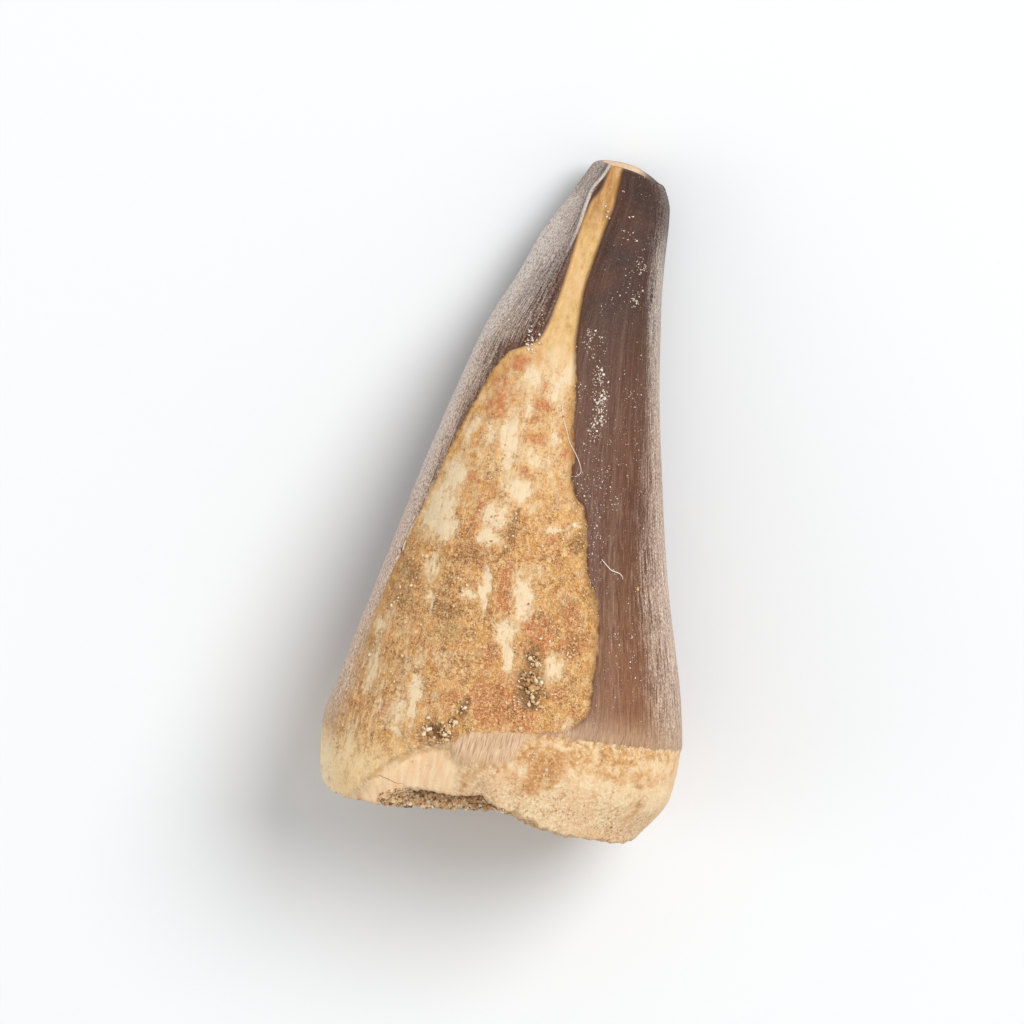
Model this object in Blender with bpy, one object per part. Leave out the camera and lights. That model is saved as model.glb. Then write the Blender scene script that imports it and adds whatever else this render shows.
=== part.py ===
"""Fossil mosasaur tooth: a broken-off crown with its root neck, and the sandy sediment in its pulp cavity.

The tooth lies on its back on z = 0, its broken base towards -Y and its worn tip towards +Y. Shapes are worked
out in millimetres, with heights counted from the lowest point of the base rim, and made in metres.
"""

import math

import bmesh
import bpy
import numpy as np

MM = 0.001  # metres in a millimetre

# Driving dimensions, in millimetres
LENGTH = 45.4  # lowest point of the base rim to the highest of the worn tip
# Edges of the crown, as (height, place) points
LEFT_EDGE = [(0.0, -11.0), (1.4, -11.5), (3.0, -11.85), (4.6, -12.0), (8.0, -11.45), (10.7, -11.05),
             (20.3, -9.4), (30.0, -7.55), (33.0, -6.8), (36.5, -5.5), (39.5, -4.5), (42.0, -3.35), (45.4, -1.9)]
RIGHT_EDGE = [(0.0, 9.5), (1.25, 10.15), (1.9, 10.55), (2.6, 11.05), (3.3, 11.5), (4.6, 11.93), (5.9, 12.0),
              (7.2, 11.95), (10.4, 11.25), (18.0, 8.75), (29.6, 5.72), (36.5, 4.35), (39.4, 3.95),
              (42.0, 3.65), (43.0, 3.47), (43.65, 3.2), (44.1, 2.95), (45.4, 2.55)]
FRONT_EDGE = [(0.0, 17.9), (4.0, 18.6), (8.0, 18.1), (16.0, 15.9), (32.0, 10.3), (43.0, 5.9), (45.4, 4.9)]
BACK_EDGE = [(0.0, 0.6), (3.0, 0.0), (8.0, -0.3), (16.0, -0.35), (26.0, -0.3), (38.0, 0.3), (45.4, 1.0)]
WIDEST_SHARE = 0.48  # where between back and front the crown is widest
FRONT_FULLNESS, BACK_FULLNESS = 2.35, 2.15  # exponents of the section: 2 is an ellipse, more is squarer

# Base rim: its height over the place across, the edge of the chip in its front wall, and its rise over the
# angle round the back
RIM = [(-11.2, 0.75), (-10.9, 0.45), (-10.35, 0.2), (-9.0, 0.0), (-7.7, 0.05), (-6.35, 0.25), (-5.0, 0.4),
       (-2.3, 0.8), (0.0, 1.2), (1.4, 1.45), (3.0, 1.1), (5.0, 0.65), (6.2, 0.7), (8.3, 0.8), (9.0, 0.75),
       (9.5, 0.95), (9.9, 1.3)]
CHIP = [(-7.9, 0.05), (-7.4, 0.6), (-6.35, 1.25), (-5.8, 1.5), (-4.2, 1.7), (-2.35, 1.8), (-1.3, 1.97),
        (-0.75, 2.1), (-0.2, 1.8), (0.6, 1.57), (1.4, 1.4)]
BACK_RIM = [(3.14, 0.0), (3.45, 0.5), (3.75, 0.1), (3.93, 0.0), (4.85, 0.0), (5.1, 0.5), (5.4, 0.9),
            (5.7, 0.35), (6.0, 0.6), (6.28, 0.0)]
RIM_ROUGHNESS = 0.12
RIM_CENTRE_HEIGHT = 0.8  # height of the section that places the rim's points

# Worn tip: a dull face across the axis that leans to the front and falls away to the right
TIP_PEAK_X, TIP_FALL_RIGHT, TIP_FALL_LEFT = -0.9, 0.0244, 0.05
TIP_LEAN = 0.13  # height lost per millimetre towards the front
TIP_ROUND = 0.35

# Side ridge (carina) of the front left, which fades downwards
CARINA = [(32.0, -5.0), (35.3, -3.6), (38.0, -2.75), (40.5, -2.15), (42.1, -1.97), (43.1, -1.8),
          (44.1, -1.27), (45.4, -0.8)]
CARINA_FADE_FROM, CARINA_FULL_FROM = 28.0, 41.0

# Exposed dentine: a groove from the tip that widens into a field, sunk by the lost enamel
DENTINE_LEFT = [(2.5, -12.6), (4.0, -11.6), (5.5, -10.95), (8.0, -10.5), (11.0, -10.2), (14.2, -9.7),
                (17.9, -8.85), (19.7, -8.5), (22.4, -7.8), (25.3, -7.1), (28.4, -6.2), (30.2, -5.5),
                (31.2, -4.95), (31.8, -4.0), (32.4, -3.15), (34.0, -2.65), (37.1, -2.25), (40.6, -1.95),
                (42.0, -1.7), (43.5, -1.05), (45.4, -0.8)]
DENTINE_RIGHT = [(5.0, 4.6), (8.7, 5.15), (12.1, 4.95), (15.5, 4.4), (16.8, 3.9), (17.8, 3.25), (19.5, 2.8),
                 (21.1, 2.4), (22.1, 2.05), (22.6, 1.45), (23.9, 0.85), (25.2, 0.75), (26.9, 0.35),
                 (30.3, -0.2), (33.1, -0.8), (36.2, -0.95), (37.9, -0.8), (40.9, -0.4), (42.3, -0.15),
                 (45.4, -0.1)]
DENTINE_FOOT = [(-12.0, -3.0), (-9.6, -0.6), (-8.7, 0.9), (-7.5, 2.6), (-6.0, 3.8), (-4.5, 4.65),
                (-3.2, 5.2), (-2.5, 5.8), (-0.9, 6.3), (0.9, 6.6), (2.8, 7.0), (4.3, 7.7), (5.2, 8.8)]
SUNK_FROM, SUNK_FULL_FROM = 3.0, 7.5  # heights between which the bare dentine's sinking sets in
ENAMEL_THICKNESS = 0.3
ENAMEL_EDGE_WIDTH = 0.45

# Flake scar in the lower front left, under a slanting ledge
LEDGE = [(-9.4, 0.1), (-8.7, 0.9), (-7.5, 2.6), (-6.4, 3.6), (-4.9, 4.5), (-3.4, 4.8), (-1.6, 4.2), (0.4, 2.2)]
SCAR_STEP, SCAR_SLOPE, SCAR_DEEPEST = 0.45, 0.26, 1.2
SCAR_FADE_FROM, SCAR_FADE_TO = -5.5, -2.5  # places across between which the ledge's step runs out

# Pulp cavity and the sediment in it
CAVITY_SHARE = 0.76  # of the crown's section, at the rim
CAVITY_HEIGHT = 14.0
PLUG_GAP = 0.3
PLUG_INSET = 0.3

# Fineness of the faceted solids
FRONT_POINTS, BACK_POINTS = 42, 22
CROWN_RINGS, TIP_RINGS, CAP_RINGS, CAVITY_RINGS, PLUG_RINGS = 40, 3, 2, 7, 8


def curve_through(points):
    """A smooth function through (place, value) points that never overshoots them (a monotone cubic)."""
    x, y = np.array(points, float).T
    step = np.diff(x)
    rise = np.diff(y) / step
    slope = np.concatenate([rise[:1], np.zeros(len(x) - 2), rise[-1:]])
    inner = np.where(rise[:-1] * rise[1:] > 0, 2 * rise[:-1] * rise[1:], 0.0)
    slope[1:-1] = inner / np.where(inner > 0, rise[:-1] + rise[1:], 1.0)

    def value(at):
        at = np.clip(at, x[0], x[-1])
        k = np.clip(np.searchsorted(x, at) - 1, 0, len(x) - 2)
        t = (at - x[k]) / step[k]
        start = y[k] * (1 + 2 * t) * (1 - t) ** 2 + slope[k] * step[k] * t * (1 - t) ** 2
        end = y[k + 1] * t * t * (3 - 2 * t) + slope[k + 1] * step[k] * t * t * (t - 1)
        return start + end

    return value


left_edge, right_edge = curve_through(LEFT_EDGE), curve_through(RIGHT_EDGE)
front_edge, back_edge = curve_through(FRONT_EDGE), curve_through(BACK_EDGE)
rim_height, chip_height, back_rim_rise = curve_through(RIM), curve_through(CHIP), curve_through(BACK_RIM)
carina_place = curve_through(CARINA)
dentine_left, dentine_right = curve_through(DENTINE_LEFT), curve_through(DENTINE_RIGHT)
dentine_foot, ledge_height = curve_through(DENTINE_FOOT), curve_through(LEDGE)


def smoothstep(low, high, value):
    t = np.clip((value - low) / (high - low), 0.0, 1.0)
    return t * t * (3 - 2 * t)


def ring_angles():
    """Angles round the crown from its right side, closer together over the front than over the back."""
    front = np.linspace(0, math.pi, FRONT_POINTS, endpoint=False)
    back = np.linspace(math.pi, 2 * math.pi, BACK_POINTS, endpoint=False)
    return np.concatenate([front, back])


ANGLES = ring_angles()


def section(height, share=1.0, inset=0.0):
    """The crown's plain section at a height per angle: its points (x, z) and their outward directions."""
    cos, sin = np.cos(ANGLES), np.sin(ANGLES)
    left, right = left_edge(height), right_edge(height)
    back, front = back_edge(height), front_edge(height)
    widest = back + WIDEST_SHARE * (front - back)
    half = (right - left) / 2 * share - inset
    depth = np.where(sin > 0, front - widest, widest - back) * share - inset
    power = np.where(sin > 0, FRONT_FULLNESS, BACK_FULLNESS)
    across, up = np.abs(cos) ** (2 / power), np.abs(sin) ** (2 / power)
    x = (left + right) / 2 + half * np.sign(cos) * across
    z = widest + depth * np.sign(sin) * up
    out = np.array([np.sign(cos) * across ** (power - 1) / half, np.sign(sin) * up ** (power - 1) / depth])
    return np.array([x, z]), out / np.linalg.norm(out, axis=0)


def flatten_to_carina(points, height):
    """Planes the front left down to a flat flank, which meets the front face in the side ridge."""
    x, z = points
    ridge = carina_place(height)
    left, right = left_edge(height), right_edge(height)
    back, front = back_edge(height), front_edge(height)
    widest = back + WIDEST_SHARE * (front - back)
    across = np.clip(2 * ((left + right) / 2 - ridge) / (right - left), 0, 1)
    ridge_z = widest + (front - widest) * (1 - across**FRONT_FULLNESS) ** (1 / FRONT_FULLNESS)
    run, rise = ridge - left, ridge_z - widest
    span = np.hypot(run, rise)
    normal = np.array([-rise / span, run / span])
    beyond = (x - left) * normal[0] + (z - widest) * normal[1]
    strength = smoothstep(CARINA_FADE_FROM, CARINA_FULL_FROM, height)
    return points - normal * np.where((z > widest) & (x < ridge), np.maximum(beyond, 0), 0) * strength


def dentine_share(x, height):
    """How fully the surface is sunk: 1 inside the exposed dentine, 0 on the enamel and down at the rim."""
    inside = np.minimum(x - dentine_left(height), dentine_right(height) - x)
    inside = np.minimum(inside, height - dentine_foot(x))
    share = smoothstep(-ENAMEL_EDGE_WIDTH / 2, ENAMEL_EDGE_WIDTH / 2, inside)
    return share * smoothstep(SUNK_FROM, SUNK_FULL_FROM, height)


def scar_depth(x, height):
    """Depth of the flake scar: a step down at the ledge, then deeper towards the rim."""
    below = ledge_height(x) - height
    inside = (x > LEDGE[0][0]) & (x < LEDGE[-1][0])
    step = SCAR_STEP * (1 - smoothstep(SCAR_FADE_FROM, SCAR_FADE_TO, x))
    depth = step * smoothstep(0, 0.5, below) + SCAR_SLOPE * np.clip(below, 0, None)
    return np.where(inside, np.minimum(depth, SCAR_DEEPEST), 0.0)


def rim_at_angles(chipped):
    """Height of the base rim at each angle, a little ragged, with or without the chip in its front."""
    points, _ = section(np.full(len(ANGLES), RIM_CENTRE_HEIGHT))
    x = points[0]
    ragged = np.sin(7 * ANGLES) + 0.6 * np.sin(17 * ANGLES + 1.0) + 0.4 * np.sin(29 * ANGLES + 2.0)
    height = rim_height(x) + back_rim_rise(ANGLES) + RIM_ROUGHNESS * ragged / 2
    if chipped:
        rise = np.where((x > CHIP[0][0]) & (x < CHIP[-1][0]), chip_height(x) - rim_height(x), 0.0)
        height = height + np.maximum(rise, 0.0) * smoothstep(0.2, 0.6, np.sin(ANGLES))
    return height


def tip_height(x, z):
    """Height of the worn tip face over the place across and up."""
    beside = x - TIP_PEAK_X
    fall = np.where(beside > 0, TIP_FALL_RIGHT * beside**3, TIP_FALL_LEFT * beside**2)
    return LENGTH - fall - TIP_LEAN * (z - back_edge(LENGTH))


def ring(points, height):
    """A ring's corners as rows (x, y, z): y is the height counted from the middle of the length."""
    return np.column_stack([points[0], height - LENGTH / 2, np.maximum(points[1], 0.0)])


def crown_ring(height, inset=0.0):
    """A ring of the outer surface, with the ridge, the sunk dentine and the flake scar."""
    points, out = section(height)
    points = flatten_to_carina(points, height)
    on_front = smoothstep(0.1, 0.35, np.sin(ANGLES))
    sunk = ENAMEL_THICKNESS * dentine_share(points[0], height) + scar_depth(points[0], height)
    return ring(points - out * (sunk * on_front + inset), height)


def cavity_ring(rim, climb, gap=0.0):
    """A ring of the pulp cavity, a share of the climb from the rim to its blunt top."""
    height = rim + climb * (CAVITY_HEIGHT - gap - rim)
    share = CAVITY_SHARE * math.sqrt(1 - climb)
    return ring(section(height, share, gap)[0], height)


def crown_rings():
    """Rings of the outer surface from the base rim to the worn tip, and then across its face."""
    rim = rim_at_angles(chipped=True)
    edge, _ = section(np.full(len(ANGLES), LENGTH - TIP_ROUND), inset=TIP_ROUND)
    top = tip_height(*edge)
    rings = [crown_ring(rim + share * (top - TIP_ROUND - rim)) for share in np.linspace(0, 1, CROWN_RINGS)]
    for turn in np.linspace(0, math.pi / 2, TIP_RINGS + 1)[1:]:
        drop, inset = TIP_ROUND * (1 - math.sin(turn)), TIP_ROUND * (1 - math.cos(turn))
        rings.append(crown_ring(top - drop, inset))
    centre = rings[-1].mean(axis=0)
    for share in np.linspace(1, 0, CAP_RINGS + 2)[1:-1]:
        inner = centre + (rings[CROWN_RINGS + TIP_RINGS - 1] - centre) * share
        inner[:, 1] = tip_height(inner[:, 0], inner[:, 2]) - LENGTH / 2
        rings.append(inner)
    return rings


def skin(name, rings, colour, roughness):
    """One closed body over a row of rings: quads between neighbours and a fan over each end."""
    mesh = bmesh.new()
    rows = [[mesh.verts.new(corner * MM) for corner in r] for r in rings]
    count = len(rows[0])
    for lower, upper in zip(rows[:-1], rows[1:]):
        for i in range(count):
            j = (i + 1) % count
            mesh.faces.new([lower[i], lower[j], upper[j], upper[i]])
    for row in (rows[0], rows[-1]):
        centre = mesh.verts.new(sum((corner.co for corner in row), row[0].co * 0) / count)
        for i in range(count):
            mesh.faces.new([row[i], row[(i + 1) % count], centre])
    bmesh.ops.triangulate(mesh, faces=mesh.faces[:])
    bmesh.ops.recalc_face_normals(mesh, faces=mesh.faces[:])
    data = bpy.data.meshes.new(name)
    mesh.to_mesh(data)
    mesh.free()
    data.shade_smooth()
    data.materials.append(plain_material(name, colour, roughness))
    made = bpy.data.objects.new(name, data)
    bpy.context.scene.collection.objects.link(made)
    return made


def plain_material(name, colour, roughness):
    material = bpy.data.materials.new(name)
    material.use_nodes = True
    shader = material.node_tree.nodes["Principled BSDF"]
    shader.inputs["Base Color"].default_value = (*colour, 1.0)
    shader.inputs["Roughness"].default_value = roughness
    shader.inputs["Metallic"].default_value = 0.0
    return material


def make_tooth():
    """The crown's outer surface, its broken base and its pulp cavity, as one skin from the cavity's top."""
    rim = rim_at_angles(chipped=True)
    climbs = np.linspace(0, 1, CAVITY_RINGS + 1)[:-1] ** 0.8
    cavity = [cavity_ring(rim, climb) for climb in reversed(climbs)]
    return skin("tooth", cavity + crown_rings(), colour=(0.42, 0.27, 0.17), roughness=0.4)


def make_cavity_sediment():
    """The sediment plug: the cavity's own shape less a gap, with a lumpy end just inside the rim."""
    rim = rim_at_angles(chipped=False) + PLUG_INSET
    climbs = np.linspace(0, 1, PLUG_RINGS + 1)[:-1] ** 0.8
    sides = [cavity_ring(rim, climb, PLUG_GAP) for climb in climbs]
    centre = sides[0].mean(axis=0)
    end = centre + (sides[0] - centre) * 0.5
    end[:, 1] += 0.25 * np.sin(3 * ANGLES)
    return skin("cavity_sediment", [end] + sides, colour=(0.43, 0.28, 0.14), roughness=0.95)


def centre_over_origin(objects):
    """Moves the meshes so that the origin is at the bottom centre of their common box."""
    corners = np.array([vertex.co for made in objects for vertex in made.data.vertices])
    low, high = corners.min(axis=0), corners.max(axis=0)
    shift = np.array([-(low[0] + high[0]) / 2, -(low[1] + high[1]) / 2, 0.0])
    for made in objects:
        for vertex in made.data.vertices:
            vertex.co.x += shift[0]
            vertex.co.y += shift[1]


def main():
    for old in list(bpy.data.objects):
        bpy.data.objects.remove(old)
    centre_over_origin([make_tooth(), make_cavity_sediment()])


main()
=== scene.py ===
"""The looks of a fossil mosasaur tooth: striated brown enamel, the ochre dentine that it leaves bare, the
cream root neck, the sandy sediment in the pulp cavity, and the grains, dust and fibres on the surface.

Shapes are worked out in millimetres and made in metres. A place on the tooth is given by x, across the face
that looks up, and by its height above the lowest point of the base rim.
"""

import math

import bmesh
import bpy
import numpy as np
from mathutils import Euler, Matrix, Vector, noise
from mathutils.bvhtree import BVHTree


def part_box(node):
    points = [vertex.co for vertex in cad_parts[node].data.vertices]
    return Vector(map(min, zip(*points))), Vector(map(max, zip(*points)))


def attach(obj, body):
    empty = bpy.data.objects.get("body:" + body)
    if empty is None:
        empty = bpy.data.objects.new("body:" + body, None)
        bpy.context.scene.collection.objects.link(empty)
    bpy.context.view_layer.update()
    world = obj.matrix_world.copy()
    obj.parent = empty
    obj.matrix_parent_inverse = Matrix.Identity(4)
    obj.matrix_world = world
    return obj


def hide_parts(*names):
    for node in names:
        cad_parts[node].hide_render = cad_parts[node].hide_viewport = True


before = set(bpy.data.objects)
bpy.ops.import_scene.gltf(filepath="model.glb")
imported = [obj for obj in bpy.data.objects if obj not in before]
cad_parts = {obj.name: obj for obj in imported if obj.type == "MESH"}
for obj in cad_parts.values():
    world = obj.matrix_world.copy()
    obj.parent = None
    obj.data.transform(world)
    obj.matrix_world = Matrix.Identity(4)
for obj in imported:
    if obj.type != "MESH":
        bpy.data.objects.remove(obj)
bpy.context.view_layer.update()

MM = 0.001  # metres in a millimetre

# ---------------------------------------------------------------- the tooth's form, as in the solids

LENGTH = 45.4
LEFT_EDGE = [
    (0.0, -11.0), (1.4, -11.5), (3.0, -11.85), (4.6, -12.0), (8.0, -11.45), (10.7, -11.05), (20.3, -9.4),
    (30.0, -7.55), (33.0, -6.8), (36.5, -5.5), (39.5, -4.5), (42.0, -3.35), (45.4, -1.9),
]
RIGHT_EDGE = [
    (0.0, 9.5), (1.25, 10.15), (1.9, 10.55), (2.6, 11.05), (3.3, 11.5), (4.6, 11.93), (5.9, 12.0),
    (7.2, 11.95), (10.4, 11.25), (18.0, 8.75), (29.6, 5.72), (36.5, 4.35), (39.4, 3.95), (42.0, 3.65),
    (43.0, 3.47), (43.65, 3.2), (44.1, 2.95), (45.4, 2.55),
]
FRONT_EDGE = [
    (0.0, 17.9), (4.0, 18.6), (8.0, 18.1), (16.0, 15.9), (32.0, 10.3), (43.0, 5.9), (45.4, 4.9),
]
BACK_EDGE = [
    (0.0, 0.6), (3.0, 0.0), (8.0, -0.3), (16.0, -0.35), (26.0, -0.3), (38.0, 0.3), (45.4, 1.0),
]
WIDEST_SHARE = 0.48
FRONT_FULLNESS, BACK_FULLNESS = 2.35, 2.15

RIM = [
    (-11.2, 0.75), (-10.9, 0.45), (-10.35, 0.2), (-9.0, 0.0), (-7.7, 0.05), (-6.35, 0.25), (-5.0, 0.4),
    (-2.3, 0.8), (0.0, 1.2), (1.4, 1.45), (3.0, 1.1), (5.0, 0.65), (6.2, 0.7), (8.3, 0.8), (9.0, 0.75),
    (9.5, 0.95), (9.9, 1.3),
]
# Rise of the rim round the back, over the angle
BACK_RIM = [
    (3.14, 0.0), (3.45, 0.5), (3.75, 0.1), (3.93, 0.0), (4.85, 0.0), (5.1, 0.5), (5.4, 0.9), (5.7, 0.35),
    (6.0, 0.6), (6.28, 0.0),
]
# Edge of the chip in the rim's front wall, where the sediment shows
CHIP = [
    (-7.9, 0.05), (-7.4, 0.6), (-6.35, 1.25), (-5.8, 1.5), (-4.2, 1.7), (-2.35, 1.8), (-1.3, 1.97),
    (-0.75, 2.1), (-0.2, 1.8), (0.6, 1.57), (1.4, 1.4),
]
RIM_CENTRE_HEIGHT = 0.8

TIP_PEAK_X, TIP_FALL_RIGHT, TIP_FALL_LEFT = -0.9, 0.0244, 0.05
TIP_LEAN, TIP_ROUND = 0.13, 0.35

CARINA = [
    (32.0, -5.0), (35.3, -3.6), (38.0, -2.75), (40.5, -2.15), (42.1, -1.97), (43.1, -1.8), (44.1, -1.27),
    (45.4, -0.8),
]
CARINA_RISE, CARINA_WIDTH = 0.1, 0.2
AROUND_HEIGHT = 18.0  # height of the section that places round the crown are measured on
SECOND_RIDGE_PLACE, SECOND_RIDGE_WIDTH, SECOND_RIDGE_RISE = 53.0, 0.45, 0.16

DENTINE_LEFT = [
    (2.5, -12.6), (4.0, -11.6), (5.5, -10.95), (8.0, -10.5), (11.0, -10.2), (14.2, -9.7), (17.9, -8.85),
    (19.7, -8.5), (22.4, -7.8), (25.3, -7.1), (28.4, -6.2), (30.2, -5.5), (31.2, -4.95), (31.8, -4.0),
    (32.4, -3.15), (34.0, -2.65), (37.1, -2.25), (40.6, -1.95), (42.0, -1.7), (43.5, -1.05), (45.4, -0.8),
]
DENTINE_RIGHT = [
    (5.0, 4.6), (8.7, 5.15), (12.1, 4.95), (15.5, 4.4), (16.8, 3.9), (17.8, 3.25), (19.5, 2.8), (21.1, 2.4),
    (22.1, 2.05), (22.6, 1.45), (23.9, 0.85), (25.2, 0.75), (26.9, 0.35), (30.3, -0.2), (33.1, -0.8),
    (36.2, -0.95), (37.9, -0.8), (40.9, -0.4), (42.3, -0.15), (45.4, -0.1),
]
DENTINE_FOOT = [
    (-12.0, -3.0), (-9.6, -0.6), (-8.7, 0.9), (-7.5, 2.6), (-6.0, 3.8), (-4.5, 4.65), (-3.2, 5.2),
    (-2.5, 5.8), (-0.9, 6.3), (0.9, 6.6), (2.8, 7.0), (4.3, 7.7), (5.2, 8.8),
]
ENAMEL_THICKNESS, ENAMEL_EDGE_WIDTH, STREAKED_EDGE_WIDER = 0.3, 0.3, 4
ROUND_THE_BACK = 7  # how far outside the bare dentine the back counts as lying

LEDGE = [
    (-9.4, 0.1), (-8.7, 0.9), (-7.5, 2.6), (-6.4, 3.6), (-4.9, 4.5), (-3.4, 4.8), (-1.6, 4.2), (0.4, 2.2),
]
SCAR_STEP, SCAR_SLOPE, SCAR_DEEPEST = 0.45, 0.26, 1.2
SCAR_STEP_ENDS, SCAR_STEP_WIDTH = (-5.5, -2.5), (0, 0.35)

CAVITY_SHARE, CAVITY_HEIGHT = 0.76, 14.0
PLUG_INSET = 0.12

# ---------------------------------------------------------------- fineness of the visible meshes

FRONT_POINTS, BACK_POINTS = 270, 110
CROWN_RINGS, TIP_RINGS, CAP_RINGS, RIM_RINGS, CAVITY_RINGS = 224, 5, 10, 12, 4
PLUG_RINGS, PLUG_SIDE_RINGS = 70, 50
CAVITY_SPACING, PLUG_SPACING = 0.8, 0.9  # under 1, the rings lie closer together towards the top
BAKE_MARGIN = 0.01  # share of the map that each closing fan takes up

# Roughness, as (rise, size of its features, seed, octaves)
EDGE_WOBBLE, FOOT_WOBBLE, STREAKS = (0.12, 0.7, 3, 2), (1.0, 1.1, 4, 3), (0.018, 1.0, 5, 2)
GROOVE_EDGE_STRAIGHTER, CREAM_SMOOTHER = 0.8, 0.75
SANDY_ROUGHNESS = [(0.075, 0.8, 7, 3), (0.05, 0.3, 8, 2)]
BARE_ROUGHNESS = (0.05, 1.6, 9, 2)
CROWN_ROUGHNESS = (0.07, 5.0, 10, 1)
RIM_ROUGHNESS, RIM_LOOP = (0.2, 0.22, 1, 4), 4  # and the radius of the loop through the noise
CAP_ROUGHNESS = [(0.14, 1.2, 12, 2), (0.05, 0.4, 15, 2)]
RIM_FACE_ROUGHNESS, RIM_FACE_SWELL = [(0.3, 1.1, 13, 3), (0.12, 0.35, 14, 2)], 0.12
PLUG_LUMPS, PLUG_UNEVENNESS = [(0.09, 0.35, 31, 3), (0.06, 1.5, 32, 2)], (1.0, 3.5, 33, 2)
PLUG_DISH, PLUG_END_ROUGHER = 0.5, 2.2
PATCH_WARP, PATCH_WARP_UP = (0.28, 0.9, 21, 2), (0.34, 0.9, 22, 2)
STREAK_WIDTH, STREAK_LENGTH = 0.35, 9.0
BED_DEPTH = 0.16

# ---------------------------------------------------------------- where the surface changes

# Heights between which each of these sets in, or runs out
FLANK_FLATTENS, CARINA_RISES, SECOND_RIDGE_RISES = (28.0, 41.0), (36, 43), (12, 22)
DENTINE_SINKS, SAND_RUNS_OUT, GROOVE_STARTS, SLIVER_SHADE_STARTS = (3.0, 7.5), (30.0, 32.5), (29, 33), (30, 33)
# Where the edges pale, and the right one dulls again, is where the painted sheen along the silhouettes sets
# in and fades
STREAKS_RUN_OUT, STRIP_RUNS_OUT, LEFT_EDGE_PALES, RIGHT_EDGE_PALES = (9, 15), (7, 8), (5, 18), (10, 18)
BAND_WIDENS_TO_FLANK, FILM_AND_SHEEN_THIN_PAST_RIDGE, RIGHT_EDGE_DULLS = (27, 35), (39, 42), (38, 42)
STREAKS_END = (-8.8, -6.8)  # places across between which the streaked dentine ends
# Facings, from 1 on the front to -1 at the back, between which the front's features set in
FRONT_FIELD, FRONT_FOOT, FRONT_FILM_AND_SHEEN = (-0.3, 0.12), (-0.25, 0.1), (-0.4, 0.12)
FRONT_RELIEF, FRONT_SCAR, FRONT_CHIP, FRONT_LINES = (0.05, 0.3), (0.1, 0.35), (0.2, 0.6), (0.05, 0.2)
LEAST_FRONT = 0.05
BARE_SCAR_DEPTH, BARE_SCAR_ENDS = (0.1, 0.4), (-3.0, -2.0)  # where the flake scar's smooth bone shows
# Lower edge of the enamel, over x on the front, and all round the back
ENAMEL_FOOT = [
    (-12.0, 4.5), (-10.5, 4.4), (-9.0, 4.9), (-3.4, 4.7), (-2.8, 3.8), (-1.0, 4.1), (0.8, 4.6), (1.3, 5.8),
    (2.0, 6.7), (5.0, 6.9), (9.0, 7.25), (12.0, 7.6),
]
BACK_FOOT, BACK_FOOT_WAVE, BACK_FOOT_WAVES, BACK_FOOT_START = 7.4, 0.5, 3, 0.7
RAGGED_RIGHT, RAGGED_LEFT_MORE, RAGGED_ENDS = 0.1, 0.32, (1.0, 5.0)
ENAMEL_STEP, ENAMEL_STEP_WIDTH = 0.12, (-0.12, 0.18)

# Widths and strengths of the pale, filmy weathering with its painted sheen, and of the painted sheen down the
# right edge: the value at the base, and changes (from, to, by) up the tooth
FILM_AND_SHEEN_LEFT_WIDTH, SHEEN_RIGHT_WIDTH = (1.7, (14, 24, -0.4), (26, 31, 0.6)), (3.6, (12, 34, -1.9))
FILM_AND_SHEEN_FLANK_REACH = (4.4, (34, 41, -3.6))
FILM_AND_SHEEN_LEFT_STRENGTH = (1.0, (17, 22, -0.15))
FILM_AND_SHEEN_TIP_STRENGTH = (1.0, (39.5, 41.5, -0.2), (42.0, 43.4, -0.35))
SHEEN_RIGHT_STRENGTH = (0.62, (16, 26, -0.27), (40, 43, -0.15))
FILM_AND_SHEEN_BESIDE_GROOVE, FILM_AND_SHEEN_ON_BACK, FILM_AND_SHEEN_LOST_PAST_RIDGE = 0.15, 0.12, 0.6
# Painted sheen along the very edges, which are seen at a grazing angle
SHEEN_AT_LEFT_EDGE, SHEEN_AT_RIGHT_EDGE = (0.6, (0.1, 1.3)), (0.35, (0.1, 1.1))  # (strength, where it fades)

PATCH_SOFTNESS = (0.3, 1.6)  # where a patch starts to fade and where it ends, as shares of its half width
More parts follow.
